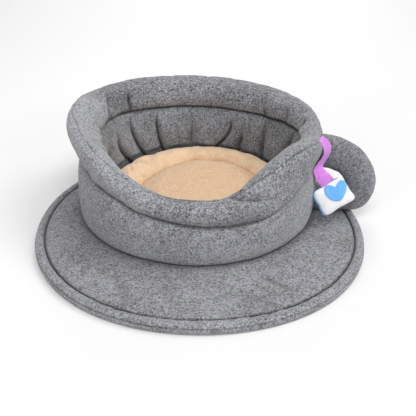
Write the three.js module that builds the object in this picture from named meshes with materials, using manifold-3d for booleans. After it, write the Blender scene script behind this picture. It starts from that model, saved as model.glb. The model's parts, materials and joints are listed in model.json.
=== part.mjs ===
// A cup-and-saucer pet bed in grey felted fleece, in millimetres, +Z up, front at -Y.
// The origin is the middle of the saucer's underside, on the floor.
// The cup is a padded wall with a rolled rim, low at the front and high at the back.
// A gathered lining and a round cushion lie inside it, and a padded handle and a tag hang on its right.

import * as THREE from "three";
import { mergeVertices } from "three/addons/utils/BufferGeometryUtils.js";
import Module from "manifold-3d";

const wasm = await Module();
wasm.setup();

// Clearances
const GAP = 0.3; // between pieces that touch
const SEAM_GAP = 0.95; // where the roll sits on the wall, whose facets differ
const DEGREE = Math.PI / 180;

// Saucer: a quilted round mat with a corded edge
const SAUCER_RADIUS = 273;
const SAUCER_THICKNESS = 18;
const EDGE_ROLL_WIDTH = 15.5;
const EDGE_ROLL_HEIGHT = 16.5;
const SAUCER_COLUMNS = 80;

// Cup: its axis stands behind the middle of the saucer
const CUP_CENTRE = { x: -6.5, y: 63 };
const CUP_FLOOR = SAUCER_THICKNESS + GAP;
const WALL_RADIUS = 202; // outside of the padded wall at mid height
const WALL_BACK_RADIUS = 170.9; // where the wall backs the lining
const LINING_BACK_RADIUS = 170.1;
const LINING_RADIUS = 160; // face of the lining
const SEAM_OUTER_RADIUS = 192.5; // seam between wall and roll, outside
const SEAM_INNER_RADIUS = 165; // seam between lining and roll, inside
const SEAM_MIDDLE_RADIUS = (SEAM_OUTER_RADIUS + SEAM_INNER_RADIUS) / 2;
const COLUMN_PITCH = 4.6; // degrees between columns where nothing folds

// Cushion
const CUSHION_RADIUS = 158.5;
const CUSHION_HEIGHT = 38;
const CUSHION_SEAM_RADIUS = 102;
const CUSHION_TILT = 3.2; // higher on the right
const CUSHION_COLUMNS = 64;

// Handle: a padded C in an upright plane through the cup's axis
const HANDLE_AZIMUTH = 85.5;
const HANDLE_THICKNESS = 32;
const HANDLE_STEPS = 26;

// Tag: a small pillow on a felt ribbon
const RIBBON_WIDTH = 24;
const RIBBON_THICKNESS = 2.4;
const TAG_WIDTH = 55.5;
const TAG_HEIGHT = 45;
const TAG_FRONT_CROWN = 8;
const TAG_BACK_CROWN = 6.5;
const TAG_CENTRE = { x: 218.4, y: -7.6, z: 71 };
const TAG_TURN = 32; // degrees, in its own plane
const TAG_TILT = 70; // degrees up from lying flat
const HEART_WIDTH = 36;
const HEART_OFFSET = { x: 6, y: 3.5 };
const HEART_TURN = -8; // degrees, against the tag
const HEART_THICKNESS = 1.4;

// Course of the rim: heights of the crest and of the two seams, the roll's middle radius and half width,
// how far its top leans out, how far the inside of the cup is let out from its round,
// and how far the outer seam is drawn in from its round.
// Azimuth is in degrees from the front, positive to the right.
const RIM = [
  { azimuth: -180, crest: 179.5, outer: 121, inner: 131, middle: 182, half: 25, lean: 8, out: 0, tuck: 0 },
  { azimuth: -160, crest: 182, outer: 121, inner: 133, middle: 182, half: 25, lean: 9, out: 0, tuck: 0 },
  { azimuth: -140, crest: 186, outer: 121, inner: 139, middle: 183.5, half: 26, lean: 12, out: 0, tuck: 0 },
  { azimuth: -120, crest: 190, outer: 121, inner: 145, middle: 185, half: 26.5, lean: 15, out: 0, tuck: 1 },
  { azimuth: -100, crest: 193, outer: 121, inner: 146, middle: 184, half: 26, lean: 18, out: 0, tuck: 4 },
  { azimuth: -85, crest: 191, outer: 124, inner: 145, middle: 183.2, half: 23.8, lean: 23, out: 0, tuck: 5 },
  { azimuth: -72, crest: 185.5, outer: 129, inner: 141, middle: 183.8, half: 21.7, lean: 23, out: 0, tuck: 4 },
  { azimuth: -60, crest: 178, outer: 126, inner: 136, middle: 183.5, half: 21, lean: 18, out: 0, tuck: 2 },
  { azimuth: -50, crest: 169, outer: 121, inner: 128, middle: 184.5, half: 20, lean: 14, out: 0, tuck: 0 },
  { azimuth: -38, crest: 152.5, outer: 113, inner: 114, middle: 185, half: 19.5, lean: 8, out: 0, tuck: 0 },
  { azimuth: -25, crest: 136, outer: 103, inner: 101, middle: 185, half: 19.5, lean: 4, out: 0, tuck: 0 },
  { azimuth: -12, crest: 127, outer: 94.5, inner: 94, middle: 184, half: 19.5, lean: 2, out: 0, tuck: 0 },
  { azimuth: 2, crest: 123, outer: 88.5, inner: 91, middle: 184, half: 19.5, lean: 2, out: 0, tuck: 0 },
  { azimuth: 12, crest: 122.5, outer: 86, inner: 91, middle: 184, half: 19.5, lean: 2, out: 0, tuck: 0 },
  { azimuth: 20, crest: 131.5, outer: 84.5, inner: 95, middle: 184, half: 20, lean: 2, out: 0, tuck: 0 },
  { azimuth: 29, crest: 150, outer: 86, inner: 105, middle: 183, half: 21, lean: 4, out: 1, tuck: 0 },
  { azimuth: 38, crest: 164, outer: 95, inner: 118, middle: 182, half: 22, lean: 6, out: 3, tuck: 0 },
  { azimuth: 50, crest: 179.5, outer: 110, inner: 132, middle: 184, half: 21, lean: 8, out: 6, tuck: 0 },
  { azimuth: 62, crest: 178, outer: 116, inner: 141, middle: 187, half: 19, lean: 8, out: 8, tuck: 0 },
  { azimuth: 76, crest: 167, outer: 116, inner: 146, middle: 189, half: 18, lean: 8, out: 10, tuck: 0 },
  { azimuth: 92, crest: 169, outer: 117, inner: 146, middle: 190, half: 18.5, lean: 9, out: 10, tuck: 0 },
  { azimuth: 110, crest: 174, outer: 119, inner: 140, middle: 188, half: 21, lean: 10, out: 6, tuck: 0 },
  { azimuth: 130, crest: 176, outer: 120, inner: 134, middle: 184, half: 24, lean: 9, out: 1, tuck: 0 },
  { azimuth: 155, crest: 177, outer: 121, inner: 130, middle: 182, half: 25, lean: 8, out: 0, tuck: 0 },
];

// Outline of the saucer, a round a little out of true.
const SAUCER_OUTLINE = [
  { azimuth: -180, radius: SAUCER_RADIUS - 4 },
  { azimuth: -135, radius: SAUCER_RADIUS - 2 },
  { azimuth: -90, radius: SAUCER_RADIUS - 1.5 },
  { azimuth: -45, radius: SAUCER_RADIUS + 1.5 },
  { azimuth: 0, radius: SAUCER_RADIUS - 2.5 },
  { azimuth: 45, radius: SAUCER_RADIUS + 2 },
  { azimuth: 70, radius: SAUCER_RADIUS - 0.5 },
  { azimuth: 88, radius: SAUCER_RADIUS - 4.5 },
  { azimuth: 115, radius: SAUCER_RADIUS - 9 },
  { azimuth: 150, radius: SAUCER_RADIUS - 7 },
];

// Pleats of the lining where the cushion draws it in: azimuth at the cushion and at the top end,
// height of the top end, depth of the valley and half width, in degrees.
const PLEATS = [
  { azimuth: -178, lean: -3, top: 96, depth: 4, half: 3.2 },
  { azimuth: -157.4, lean: 4.6, top: 124, depth: 6.5, half: 2.2 },
  { azimuth: -143.3, lean: 11, top: 130, depth: 6, half: 2.4 },
  { azimuth: -131, lean: 12, top: 102, depth: 6, half: 2.6 },
  { azimuth: -112, lean: 6, top: 92, depth: 4, half: 3 },
  { azimuth: -86, lean: 3, top: 110, depth: 5, half: 2.6 },
  { azimuth: -60, lean: -4, top: 96, depth: 5, half: 2.8 },
  { azimuth: -33, lean: 3, top: 84, depth: 4, half: 2.8 },
  { azimuth: -8, lean: 2, top: 80, depth: 4.5, half: 2.6 },
  { azimuth: 17, lean: -3, top: 82, depth: 4, half: 2.8 },
  { azimuth: 44, lean: -4, top: 98, depth: 5, half: 2.6 },
  { azimuth: 73, lean: -5, top: 112, depth: 5, half: 2.8 },
  { azimuth: 95, lean: -5, top: 118, depth: 4.5, half: 3 },
  { azimuth: 117, lean: -15, top: 136, depth: 6, half: 2.8 },
  { azimuth: 132.6, lean: -2.4, top: 122, depth: 5, half: 2.4 },
  { azimuth: 147, lean: -4, top: 116, depth: 4, half: 2.8 },
  { azimuth: 166, lean: -9, top: 106, depth: 6, half: 2.6 },
];

// Creases on the inside of the roll, from the seam up to a share of its height.
const ROLL_CREASES = [
  { azimuth: -133, up: 0.8, depth: 5, half: 1.8 },
  { azimuth: -111, up: 0.9, depth: 4, half: 2.4 },
  { azimuth: -62, up: 0.8, depth: 3.5, half: 2.2 },
  { azimuth: -20, up: 0.7, depth: 2.5, half: 2.2 },
  { azimuth: 24, up: 0.8, depth: 3.5, half: 2.2 },
  { azimuth: 57, up: 0.8, depth: 3.5, half: 2.4 },
  { azimuth: 88, up: 0.95, depth: 5, half: 2.4 },
  { azimuth: 131, up: 0.8, depth: 4.5, half: 1.9 },
];

// Section of the wall: radius, and share of the height from the saucer to the seam.
const WALL_SECTION = [
  { radius: WALL_BACK_RADIUS + 3, share: 0 },
  { radius: WALL_RADIUS - 9, share: 0 },
  { radius: WALL_RADIUS - 3.5, share: 0.04 },
  { radius: WALL_RADIUS - 0.8, share: 0.13 },
  { radius: WALL_RADIUS, share: 0.36 },
  { radius: WALL_RADIUS - 0.6, share: 0.64 },
  { radius: WALL_RADIUS - 3.4, share: 0.84 },
  { radius: WALL_RADIUS - 6.6, share: 0.955 },
  { radius: SEAM_OUTER_RADIUS, share: 1 },
  { radius: SEAM_MIDDLE_RADIUS, share: 1 },
  { radius: WALL_BACK_RADIUS + 4, share: 1 },
  { radius: WALL_BACK_RADIUS, share: 0.95 },
  { radius: WALL_BACK_RADIUS, share: 0.05 },
];

// Section of the lining, a thin filled band against the wall.
const LINING_SECTION = [
  { radius: LINING_BACK_RADIUS, share: 0 },
  { radius: LINING_BACK_RADIUS, share: 1 },
  { radius: SEAM_INNER_RADIUS, share: 1 },
  { radius: LINING_RADIUS + 1.8, share: 0.95 },
  { radius: LINING_RADIUS - 0.2, share: 0.85 },
  { radius: LINING_RADIUS - 0.6, share: 0.7 },
  { radius: LINING_RADIUS - 0.4, share: 0.54 },
  { radius: LINING_RADIUS, share: 0.4 },
  { radius: LINING_RADIUS + 2, share: 0.28 },
  { radius: LINING_RADIUS + 3.6, share: 0.1 },
  { radius: LINING_RADIUS + 5, share: 0 },
];

// Section of the roll: across is -1 inside to 1 outside, up is 0 at the seams to 1 at the crest.
const ROLL_SECTION = [
  { across: 0, up: 0 },
  { across: 0.62, up: 0 },
  { across: 0.85, up: 0.07 },
  { across: 0.99, up: 0.3 },
  { across: 0.97, up: 0.56 },
  { across: 0.8, up: 0.8 },
  { across: 0.46, up: 0.955 },
  { across: 0.02, up: 1 },
  { across: -0.44, up: 0.95 },
  { across: -0.8, up: 0.79 },
  { across: -0.99, up: 0.54 },
  { across: -1, up: 0.28 },
  { across: -0.86, up: 0.07 },
  { across: -0.62, up: 0 },
];

// Section of the cushion: radius and height over the saucer, from under its middle to its top middle.
const CUSHION_SECTION = [
  { radius: 0, height: 0 },
  { radius: CUSHION_RADIUS - 18, height: 0 },
  { radius: CUSHION_RADIUS - 5, height: 4 },
  { radius: CUSHION_RADIUS, height: 14 },
  { radius: CUSHION_RADIUS - 0.5, height: 25 },
  { radius: CUSHION_RADIUS - 5, height: 33.5 },
  { radius: CUSHION_RADIUS - 15, height: 37.5 },
  { radius: CUSHION_SEAM_RADIUS + 18, height: 37 },
  { radius: CUSHION_SEAM_RADIUS + 6, height: 34 },
  { radius: CUSHION_SEAM_RADIUS, height: 31.5 },
  { radius: CUSHION_SEAM_RADIUS - 6, height: 34 },
  { radius: CUSHION_SEAM_RADIUS - 22, height: 37 },
  { radius: CUSHION_SEAM_RADIUS - 55, height: CUSHION_HEIGHT },
  { radius: 0, height: CUSHION_HEIGHT },
];

// Section of the saucer's mat, up to the stitched groove beside the corded edge.
const MAT_RADIUS = SAUCER_RADIUS - EDGE_ROLL_WIDTH - GAP;
const MAT_SECTION = [
  { radius: 0, height: 0 },
  { radius: MAT_RADIUS - 3, height: 0 },
  { radius: MAT_RADIUS, height: 3 },
  { radius: MAT_RADIUS, height: 8 },
  { radius: MAT_RADIUS - 2, height: 11.5 },
  { radius: MAT_RADIUS - 7, height: 15 },
  { radius: MAT_RADIUS - 15, height: 17.2 },
  { radius: MAT_RADIUS - 30, height: SAUCER_THICKNESS },
  { radius: MAT_RADIUS - 48, height: SAUCER_THICKNESS },
  { radius: MAT_RADIUS - 68, height: SAUCER_THICKNESS },
  { radius: MAT_RADIUS - 92, height: SAUCER_THICKNESS },
  { radius: MAT_RADIUS - 140, height: SAUCER_THICKNESS },
  { radius: 0, height: SAUCER_THICKNESS },
];

// Section of the corded edge, with the notch of its lower stitch line on the outside.
const EDGE_SECTION = [
  { radius: SAUCER_RADIUS - 13, height: 0 },
  { radius: SAUCER_RADIUS - 3.5, height: 0 },
  { radius: SAUCER_RADIUS - 1.2, height: 2.4 },
  { radius: SAUCER_RADIUS - 1.6, height: 4.6 },
  { radius: SAUCER_RADIUS, height: 7 },
  { radius: SAUCER_RADIUS - 0.8, height: 11.5 },
  { radius: SAUCER_RADIUS - 4, height: 15.3 },
  { radius: SAUCER_RADIUS - 8.5, height: EDGE_ROLL_HEIGHT },
  { radius: SAUCER_RADIUS - 12.5, height: 14.6 },
  { radius: SAUCER_RADIUS - EDGE_ROLL_WIDTH, height: 10.5 },
  { radius: SAUCER_RADIUS - EDGE_ROLL_WIDTH, height: 2 },
];

// Soft creases in the saucer's top, from one end to the other, in the saucer's frame.
const SAUCER_CREASES = [
  { x0: 96, y0: -158, x1: 136, y1: -192, depth: 2.2, half: 9 },
  { x0: 60, y0: -196, x1: 106, y1: -222, depth: 1.6, half: 10 },
  { x0: -118, y0: -160, x1: -104, y1: -224, depth: 1.6, half: 11 },
  { x0: -226, y0: -8, x1: -206, y1: 60, depth: 1.8, half: 10 },
  { x0: 216, y0: -96, x1: 242, y1: -60, depth: 1.4, half: 9 },
  { x0: -52, y0: -178, x1: -34, y1: -236, depth: 1.2, half: 12 },
];

// Middle line of the handle's band in its plane: out from the cup's axis, height, and half width.
const HANDLE_COURSE = [
  { out: 180, height: 129, half: 24 },
  { out: 202, height: 129, half: 25 },
  { out: 228, height: 124, half: 25.5 },
  { out: 254, height: 109, half: 26 },
  { out: 273, height: 86, half: 26 },
  { out: 277, height: 62, half: 25.5 },
  { out: 268.5, height: 42, half: 24 },
  { out: 246, height: 37, half: 20.5 },
  { out: 218, height: 36, half: 19.5 },
  { out: 186, height: 38, half: 19.5 },
];

// Course of the ribbon from its seam on the crest, out over the roll and down to the wall.
// side is the direction of its width.
const RIBBON_UPPER = [
  { at: [190, 10.5, 164.2], side: [0.4, 0.9, -0.18] },
  { at: [195.5, 12, 161.8], side: [0.42, 0.88, -0.2] },
  { at: [200.8, 14.5, 155.5], side: [0.45, 0.85, -0.26] },
  { at: [203.8, 16.5, 146], side: [0.5, 0.8, -0.33] },
  { at: [203, 17, 136], side: [0.5, 0.77, -0.38] },
  { at: [199.8, 15, 126], side: [0.42, 0.79, -0.45] },
  { at: [196.4, 11.5, 115.5], side: [0.36, 0.79, -0.5] },
  { at: [194, 9, 107.5], side: [0.36, 0.79, -0.5] },
];

// The ribbon's lower run, folded to face the front, from the wall to the tag.
const RIBBON_LOWER = [
  { at: [191.4, 9.6, 116.4], side: [0.76, 0.3, 0.58] },
  { at: [197.2, 5.4, 105], side: [0.76, 0.27, 0.6] },
  { at: [206.2, -0.8, 91.6], side: [0.76, 0.226, 0.62] },
];

/** Value of a column of a table at an azimuth, by a periodic cubic through its rows. */
function around(table, column, azimuth) {
  const count = table.length;
  const turned = ((((azimuth + 180) % 360) + 360) % 360) - 180;
  let row = count - 1;
  while (row > 0 && table[row].azimuth > turned) row -= 1;
  const angleOf = (k) => table[((k % count) + count) % count].azimuth + 360 * Math.floor(k / count);
  const valueOf = (k) => table[((k % count) + count) % count][column];
  const slopeOf = (k) => (valueOf(k + 1) - valueOf(k - 1)) / (angleOf(k + 1) - angleOf(k - 1));
  const span = angleOf(row + 1) - angleOf(row);
  const t = (turned - angleOf(row)) / span;
  const t2 = t * t;
  const t3 = t2 * t;
  return (
    (2 * t3 - 3 * t2 + 1) * valueOf(row) +
    (t3 - 2 * t2 + t) * span * slopeOf(row) +
    (3 * t2 - 2 * t3) * valueOf(row + 1) +
    (t3 - t2) * span * slopeOf(row + 1)
  );
}

/** Value of a column of the rim's course at an azimuth. */
function rimAt(column, azimuth) {
  return around(RIM, column, azimuth);
}

/** Radii of the roll's inner and outer seams at an azimuth. */
function seamRadii(azimuth) {
  return { inner: SEAM_INNER_RADIUS + rimAt("out", azimuth), outer: SEAM_OUTER_RADIUS - rimAt("tuck", azimuth) };
}

/** Height of the sloping line between the inner and the outer seam, at a radius. */
function seamHeight(radius, azimuth) {
  const { inner, outer } = seamRadii(azimuth);
  const share = THREE.MathUtils.clamp((radius - inner) / (outer - inner), 0, 1);
  return THREE.MathUtils.lerp(rimAt("inner", azimuth), rimAt("outer", azimuth), share);
}

/** How far the inside of the cup is let out at an azimuth and a share of its height. */
function letOut(azimuth, share) {
  return rimAt("out", azimuth) * share;
}

/** How far the wall's outside is drawn in at a radius of its section, an azimuth and a share of its height. */
function drawnIn(radius, azimuth, share) {
  const part = THREE.MathUtils.smoothstep(radius, WALL_BACK_RADIUS + 4, SEAM_OUTER_RADIUS);
  return rimAt("tuck", azimuth) * share * part;
}

/** Smallest signed turn in degrees from one azimuth to another. */
function turnBetween(from, to) {
  return ((((to - from) % 360) + 540) % 360) - 180;
}

/** Bell curve, 1 at 0 and nearly 0 past two half widths. */
function bell(distance, half) {
  return Math.exp(-((distance / half) ** 2));
}

/** Azimuths for the columns of a ring: an even pitch, with three columns on each fold. */
function columnsOn(folds) {
  const marked = folds.flatMap((fold) => [-1.3, 0, 1.3].map((k) => fold.azimuth + k * fold.half));
  const even = [];
  const count = Math.round(360 / COLUMN_PITCH);
  for (let k = 0; k < count; k += 1) {
    const azimuth = -180 + (k * 360) / count;
    const clear = marked.every((m) => Math.abs(turnBetween(m, azimuth)) > COLUMN_PITCH * 0.55);
    if (clear) even.push(azimuth);
  }
  return [...marked, ...even].map((a) => turnBetween(0, a)).sort((a, b) => a - b);
}

/** Merges shared points, drops slivers without area, and turns the faces outwards. */
function closeUp(geometry) {
  geometry.deleteAttribute("normal");
  geometry.deleteAttribute("uv");
  const merged = mergeVertices(geometry, 1e-3);
  const index = merged.index.array;
  const kept = [];
  for (let k = 0; k < index.length; k += 3) {
    const [a, b, c] = [index[k], index[k + 1], index[k + 2]];
    if (a !== b && b !== c && c !== a) kept.push(a, b, c);
  }
  const point = (k) => new THREE.Vector3().fromBufferAttribute(merged.attributes.position, k);
  let volume = 0;
  for (let k = 0; k < kept.length; k += 3) {
    volume += point(kept[k]).dot(point(kept[k + 1]).cross(point(kept[k + 2])));
  }
  if (volume < 0) {
    for (let k = 0; k < kept.length; k += 3) [kept[k], kept[k + 1]] = [kept[k + 1], kept[k]];
  }
  merged.setIndex(kept);
  merged.computeVertexNormals();
  return merged;
}

/**
 * A lathe form whose columns stand at given azimuths, each point moved by its own rule.
 * section is a list of rows, closed on itself or ending on the axis. place gives x, y and z.
 */
function turnedForm(section, azimuths, place) {
  const profile = section.map((row, k) => new THREE.Vector2(1, k));
  const geometry = new THREE.LatheGeometry(profile, azimuths.length);
  const position = geometry.attributes.position;
  for (let column = 0; column <= azimuths.length; column += 1) {
    const azimuth = azimuths[column % azimuths.length];
    section.forEach((row, k) => {
      const p = place(row, azimuth);
      position.setXYZ(column * section.length + k, p.x, p.y, p.z);
    });
  }
  return closeUp(geometry);
}

/** Point at a radius, azimuth in degrees and height; azimuth 0 is the front, -Y. */
function polar(radius, azimuth, z) {
  return { x: radius * Math.sin(azimuth * DEGREE), y: -radius * Math.cos(azimuth * DEGREE), z };
}

/** Even azimuths all round. */
function evenColumns(count) {
  return Array.from({ length: count }, (_, k) => -180 + (k * 360) / count);
}

/** A section list that ends where it starts. */
function closed(section) {
  return [...section, section[0]];
}

/** Slow unevenness of hand-stuffed cloth, about -1 to 1. */
function unevenness(azimuth, height, seed) {
  const a = azimuth * DEGREE;
  return (
    0.45 * Math.sin(3 * a + seed + height * 0.02) +
    0.3 * Math.sin(7 * a + 2.1 * seed - height * 0.035) +
    0.25 * Math.sin(11 * a + 3.7 * seed + height * 0.05)
  );
}

/** The padded wall of the cup, from the saucer to the roll's seam. */
function wallForm(grow = 0) {
  const middle = (WALL_RADIUS + WALL_BACK_RADIUS) / 2;
  return turnedForm(closed(WALL_SECTION), columnsOn(ROLL_CREASES), (row, azimuth) => {
    const isBack = row.radius < middle;
    const stand = row.radius + (isBack ? letOut(azimuth, row.share) : -drawnIn(row.radius, azimuth, row.share));
    const top = seamHeight(stand, azimuth);
    const z = CUP_FLOOR + row.share * (top - CUP_FLOOR);
    const free = row.radius > SEAM_OUTER_RADIUS ? 1 : 0;
    const radius = stand + free * (1.2 * unevenness(azimuth, z, 1.3) + 0.5);
    const spread = grow * (row.share > 0.5 ? 1 : -1);
    return polar(radius + grow * (isBack ? -1 : 1), azimuth, z + spread);
  });
}

/** Depth of the pleats at an azimuth and height, with the raised lip beside each valley. */
function pleatDepth(azimuth, z) {
  let depth = 0;
  for (const pleat of PLEATS) {
    const rise = THREE.MathUtils.clamp((z - CUP_FLOOR) / (pleat.top - CUP_FLOOR), 0, 1.3);
    const fade = THREE.MathUtils.smoothstep(1.12 - rise, 0, 0.55);
    const away = turnBetween(pleat.azimuth, azimuth);
    depth += fade * pleat.depth * (bell(away, pleat.half) - 0.38 * bell(Math.abs(away) - 2 * pleat.half, pleat.half));
  }
  return depth;
}

/** How far a column of the lining leans at an azimuth, in degrees over its height. */
function leanAt(azimuth) {
  let sum = 0;
  let weight = 0;
  for (const pleat of PLEATS) {
    const share = bell(turnBetween(pleat.azimuth, azimuth), 8) + 1e-4;
    sum += share * pleat.lean;
    weight += share;
  }
  return sum / weight;
}

/** The gathered lining, drawn into pleats above the cushion. */
function liningForm() {
  return turnedForm(closed(LINING_SECTION), columnsOn(PLEATS), (row, azimuth) => {
    const out = letOut(azimuth, row.share);
    const top = seamHeight(row.radius + out, azimuth);
    const z = CUP_FLOOR + row.share * (top - CUP_FLOOR);
    const onFace = row.radius < LINING_BACK_RADIUS - 1 && row.share < 1 && row.share > 0;
    if (!onFace) return polar(row.radius + out, azimuth, z);
    const folded = Math.min(row.radius + pleatDepth(azimuth, z), LINING_BACK_RADIUS - 1.5);
    return polar(folded + out, azimuth + leanAt(azimuth) * row.share ** 1.4, z);
  });
}

/** Depth of the creases on the roll's inside. */
function creaseDepth(azimuth, across, up) {
  if (across > 0.3) return 0;
  let depth = 0;
  for (const crease of ROLL_CREASES) {
    const fade = THREE.MathUtils.smoothstep(crease.up + 0.15 - up, 0, 0.5);
    depth += fade * crease.depth * bell(turnBetween(crease.azimuth, azimuth), crease.half);
  }
  return depth;
}

/** Dent of the slanting fold on the outside of the roll, where the low front turns up to the right. */
function frontFoldDent(azimuth, across, up) {
  if (across < 0.1) return 0;
  const share = THREE.MathUtils.clamp((azimuth - 13) / 17, 0, 1);
  const course = THREE.MathUtils.lerp(0.92, 0.45, share);
  const along = bell(azimuth - 21, 9);
  return 4.5 * along * bell(up - course, 0.14);
}

/** The padded roll along the rim. */
function rollForm(grow = 0) {
  return turnedForm(closed(ROLL_SECTION), columnsOn(ROLL_CREASES), (row, azimuth) => {
    const { inner, outer } = seamRadii(azimuth);
    const seamMiddle = (outer + inner) / 2;
    const seamHalf = (outer - inner) / 2 / 0.62;
    const free = THREE.MathUtils.smoothstep(row.up, 0, 0.4);
    const dent = creaseDepth(azimuth, row.across, row.up) + frontFoldDent(azimuth, row.across, row.up);
    const leaned = rimAt("middle", azimuth) + rimAt("lean", azimuth) * (row.up - 0.5);
    const middle = THREE.MathUtils.lerp(seamMiddle, leaned, free);
    const half = THREE.MathUtils.lerp(seamHalf, rimAt("half", azimuth) - dent, free) + grow;
    const radius = middle + row.across * half + free * 0.8 * unevenness(azimuth, 60 * row.up, 2.4);
    const low = seamHeight(radius, azimuth) + SEAM_GAP;
    const high = rimAt("crest", azimuth) - 0.4 * dent + grow;
    const z = low + row.up * (high - low) - (row.up === 0 ? grow : 0);
    return polar(radius, azimuth, z);
  });
}

/** The round cushion, with its stitched ring. */
function cushionForm() {
  return turnedForm(CUSHION_SECTION, evenColumns(CUSHION_COLUMNS), (row, azimuth) => {
    const puff = row.height > 20 ? 1 : 0;
    const inner = row.radius < CUSHION_SEAM_RADIUS ? row.radius / CUSHION_SEAM_RADIUS : 1;
    const lift = puff * inner * 1.3 * unevenness(azimuth, row.radius, 0.7);
    const tilt = puff * CUSHION_TILT * (row.radius / CUSHION_RADIUS) * Math.sin((azimuth - 20) * DEGREE);
    return polar(row.radius, azimuth, CUP_FLOOR + row.height + lift + tilt);
  });
}

/** Soft creases and slow waves of the saucer's top, as a drop in millimetres; none under the cup. */
function saucerDrop(x, y) {
  const fromCup = Math.hypot(x - CUP_CENTRE.x, y - CUP_CENTRE.y);
  const open = THREE.MathUtils.smoothstep(fromCup, WALL_RADIUS + 1, WALL_RADIUS + 16);
  const rim = 1 - THREE.MathUtils.smoothstep(Math.hypot(x, y), MAT_RADIUS - 14, MAT_RADIUS - 4);
  let drop = 0.7 + 0.7 * Math.sin(x * 0.031 + 1.1) * Math.sin(y * 0.027 + 0.4);
  for (const crease of SAUCER_CREASES) {
    const alongX = crease.x1 - crease.x0;
    const alongY = crease.y1 - crease.y0;
    const span = alongX ** 2 + alongY ** 2;
    const t = THREE.MathUtils.clamp(((x - crease.x0) * alongX + (y - crease.y0) * alongY) / span, 0, 1);
    const away = Math.hypot(x - crease.x0 - t * alongX, y - crease.y0 - t * alongY);
    drop += crease.depth * bell(away, crease.half);
  }
  return open * rim * drop;
}

/** A radius of the saucer's sections carried to its outline at an azimuth. */
function onOutline(radius, azimuth) {
  return (radius * around(SAUCER_OUTLINE, "radius", azimuth)) / SAUCER_RADIUS;
}

/** The saucer's mat. */
function matForm() {
  return turnedForm(MAT_SECTION, evenColumns(SAUCER_COLUMNS), (row, azimuth) => {
    const flat = polar(onOutline(row.radius, azimuth), azimuth, row.height);
    const drop = row.height > 14 ? saucerDrop(flat.x, flat.y) : 0;
    return { ...flat, z: row.height - drop };
  });
}

/** The saucer's corded edge. */
function edgeForm() {
  return turnedForm(closed(EDGE_SECTION), evenColumns(SAUCER_COLUMNS), (row, azimuth) => {
    const high = row.height > 6 ? 0.6 * unevenness(azimuth, 0, 4.1) : 0;
    return polar(onOutline(row.radius, azimuth), azimuth, row.height + high);
  });
}

/** A closed mesh as a solid for joining and cutting. */
function solidOf(geometry) {
  const vertProperties = new Float32Array(geometry.attributes.position.array);
  const triVerts = new Uint32Array(geometry.index.array);
  return new wasm.Manifold(new wasm.Mesh({ numProp: 3, vertProperties, triVerts }));
}

/** A solid as a mesh again. */
function geometryOf(solid) {
  const mesh = solid.getMesh();
  const points = [];
  for (let k = 0; k < mesh.vertProperties.length; k += mesh.numProp) {
    points.push(...mesh.vertProperties.slice(k, k + 3));
  }
  const geometry = new THREE.BufferGeometry();
  geometry.setAttribute("position", new THREE.Float32BufferAttribute(points, 3));
  geometry.setIndex(Array.from(mesh.triVerts));
  return closeUp(geometry);
}

/** The cup's wall, roll and hollow as one solid, a gap larger than they are. */
function cupSolid() {
  const hollow = new THREE.CylinderGeometry(SEAM_OUTER_RADIUS + 1, SEAM_OUTER_RADIUS + 1, 150, 60);
  hollow.rotateX(Math.PI / 2);
  hollow.translate(0, 0, 75);
  return solidOf(wallForm(GAP)).add(solidOf(rollForm(GAP))).add(solidOf(closeUp(hollow)));
}

/** The largest separate piece of a solid. */
function largestPiece(solid) {
  return solid.decompose().sort((a, b) => b.volume() - a.volume())[0];
}

/** Rounded, slightly pointed section of the handle's band, two panels sewn at the edges. */
function handleSection(half) {
  const points = [];
  const corners = 16;
  for (let k = 0; k < corners; k += 1) {
    const a = (k / corners) * 2 * Math.PI;
    const across = Math.sign(Math.cos(a)) * Math.abs(Math.cos(a)) ** 0.8;
    const thick = Math.sign(Math.sin(a)) * Math.abs(Math.sin(a)) ** 0.9;
    points.push(new THREE.Vector2(across * half, (thick * HANDLE_THICKNESS) / 2));
  }
  return points;
}

/** The padded handle, cut to sit against the wall and the roll. */
function handleForm() {
  const rows = HANDLE_COURSE;
  const middle = new THREE.CatmullRomCurve3(rows.map((row) => new THREE.Vector3(row.out, 0, row.height)));
  const widths = new THREE.CatmullRomCurve3(rows.map((row, k) => new THREE.Vector3(k, row.half, 0)));
  const corners = handleSection(1).length;
  const geometry = new THREE.CylinderGeometry(1, 1, 1, corners, HANDLE_STEPS);
  const position = geometry.attributes.position;
  const plane = new THREE.Vector3(0, 1, 0);
  for (let k = 0; k < position.count; k += 1) {
    const t = 0.5 - position.getY(k);
    const onAxis = Math.hypot(position.getX(k), position.getZ(k)) < 0.5;
    const turn = Math.atan2(position.getZ(k), position.getX(k));
    const centre = middle.getPoint(t);
    const ahead = middle.getTangent(t);
    const across = new THREE.Vector3().crossVectors(ahead, plane).normalize();
    const corner = Math.round((turn / (2 * Math.PI)) * corners + corners) % corners;
    const shape = handleSection(widths.getPoint(t).y)[corner];
    const point = centre.clone();
    if (!onAxis) point.addScaledVector(across, shape.x).addScaledVector(plane, shape.y);
    position.setXYZ(k, point.x, point.y, point.z);
  }
  const band = closeUp(geometry);
  band.rotateZ((HANDLE_AZIMUTH - 90) * DEGREE);
  const cut = solidOf(band).subtract(cupSolid());
  const floor = new THREE.BoxGeometry(400, 400, 40);
  floor.translate(250, 0, SAUCER_THICKNESS + GAP - 20);
  const seated = cut.subtract(solidOf(closeUp(floor)));
  return geometryOf(largestPiece(seated));
}

/** Outline of the tag's pillow: a square with drawn-in sides and soft corners, as a radius. */
function tagOutline(turn) {
  const sharp = 8;
  const c = Math.abs(Math.cos(turn));
  const s = Math.abs(Math.sin(turn));
  const square = (c ** sharp + s ** sharp) ** (-1 / sharp);
  const drawn = 1 - 0.04 * Math.cos(4 * turn);
  return 0.5 * square * drawn;
}

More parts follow.
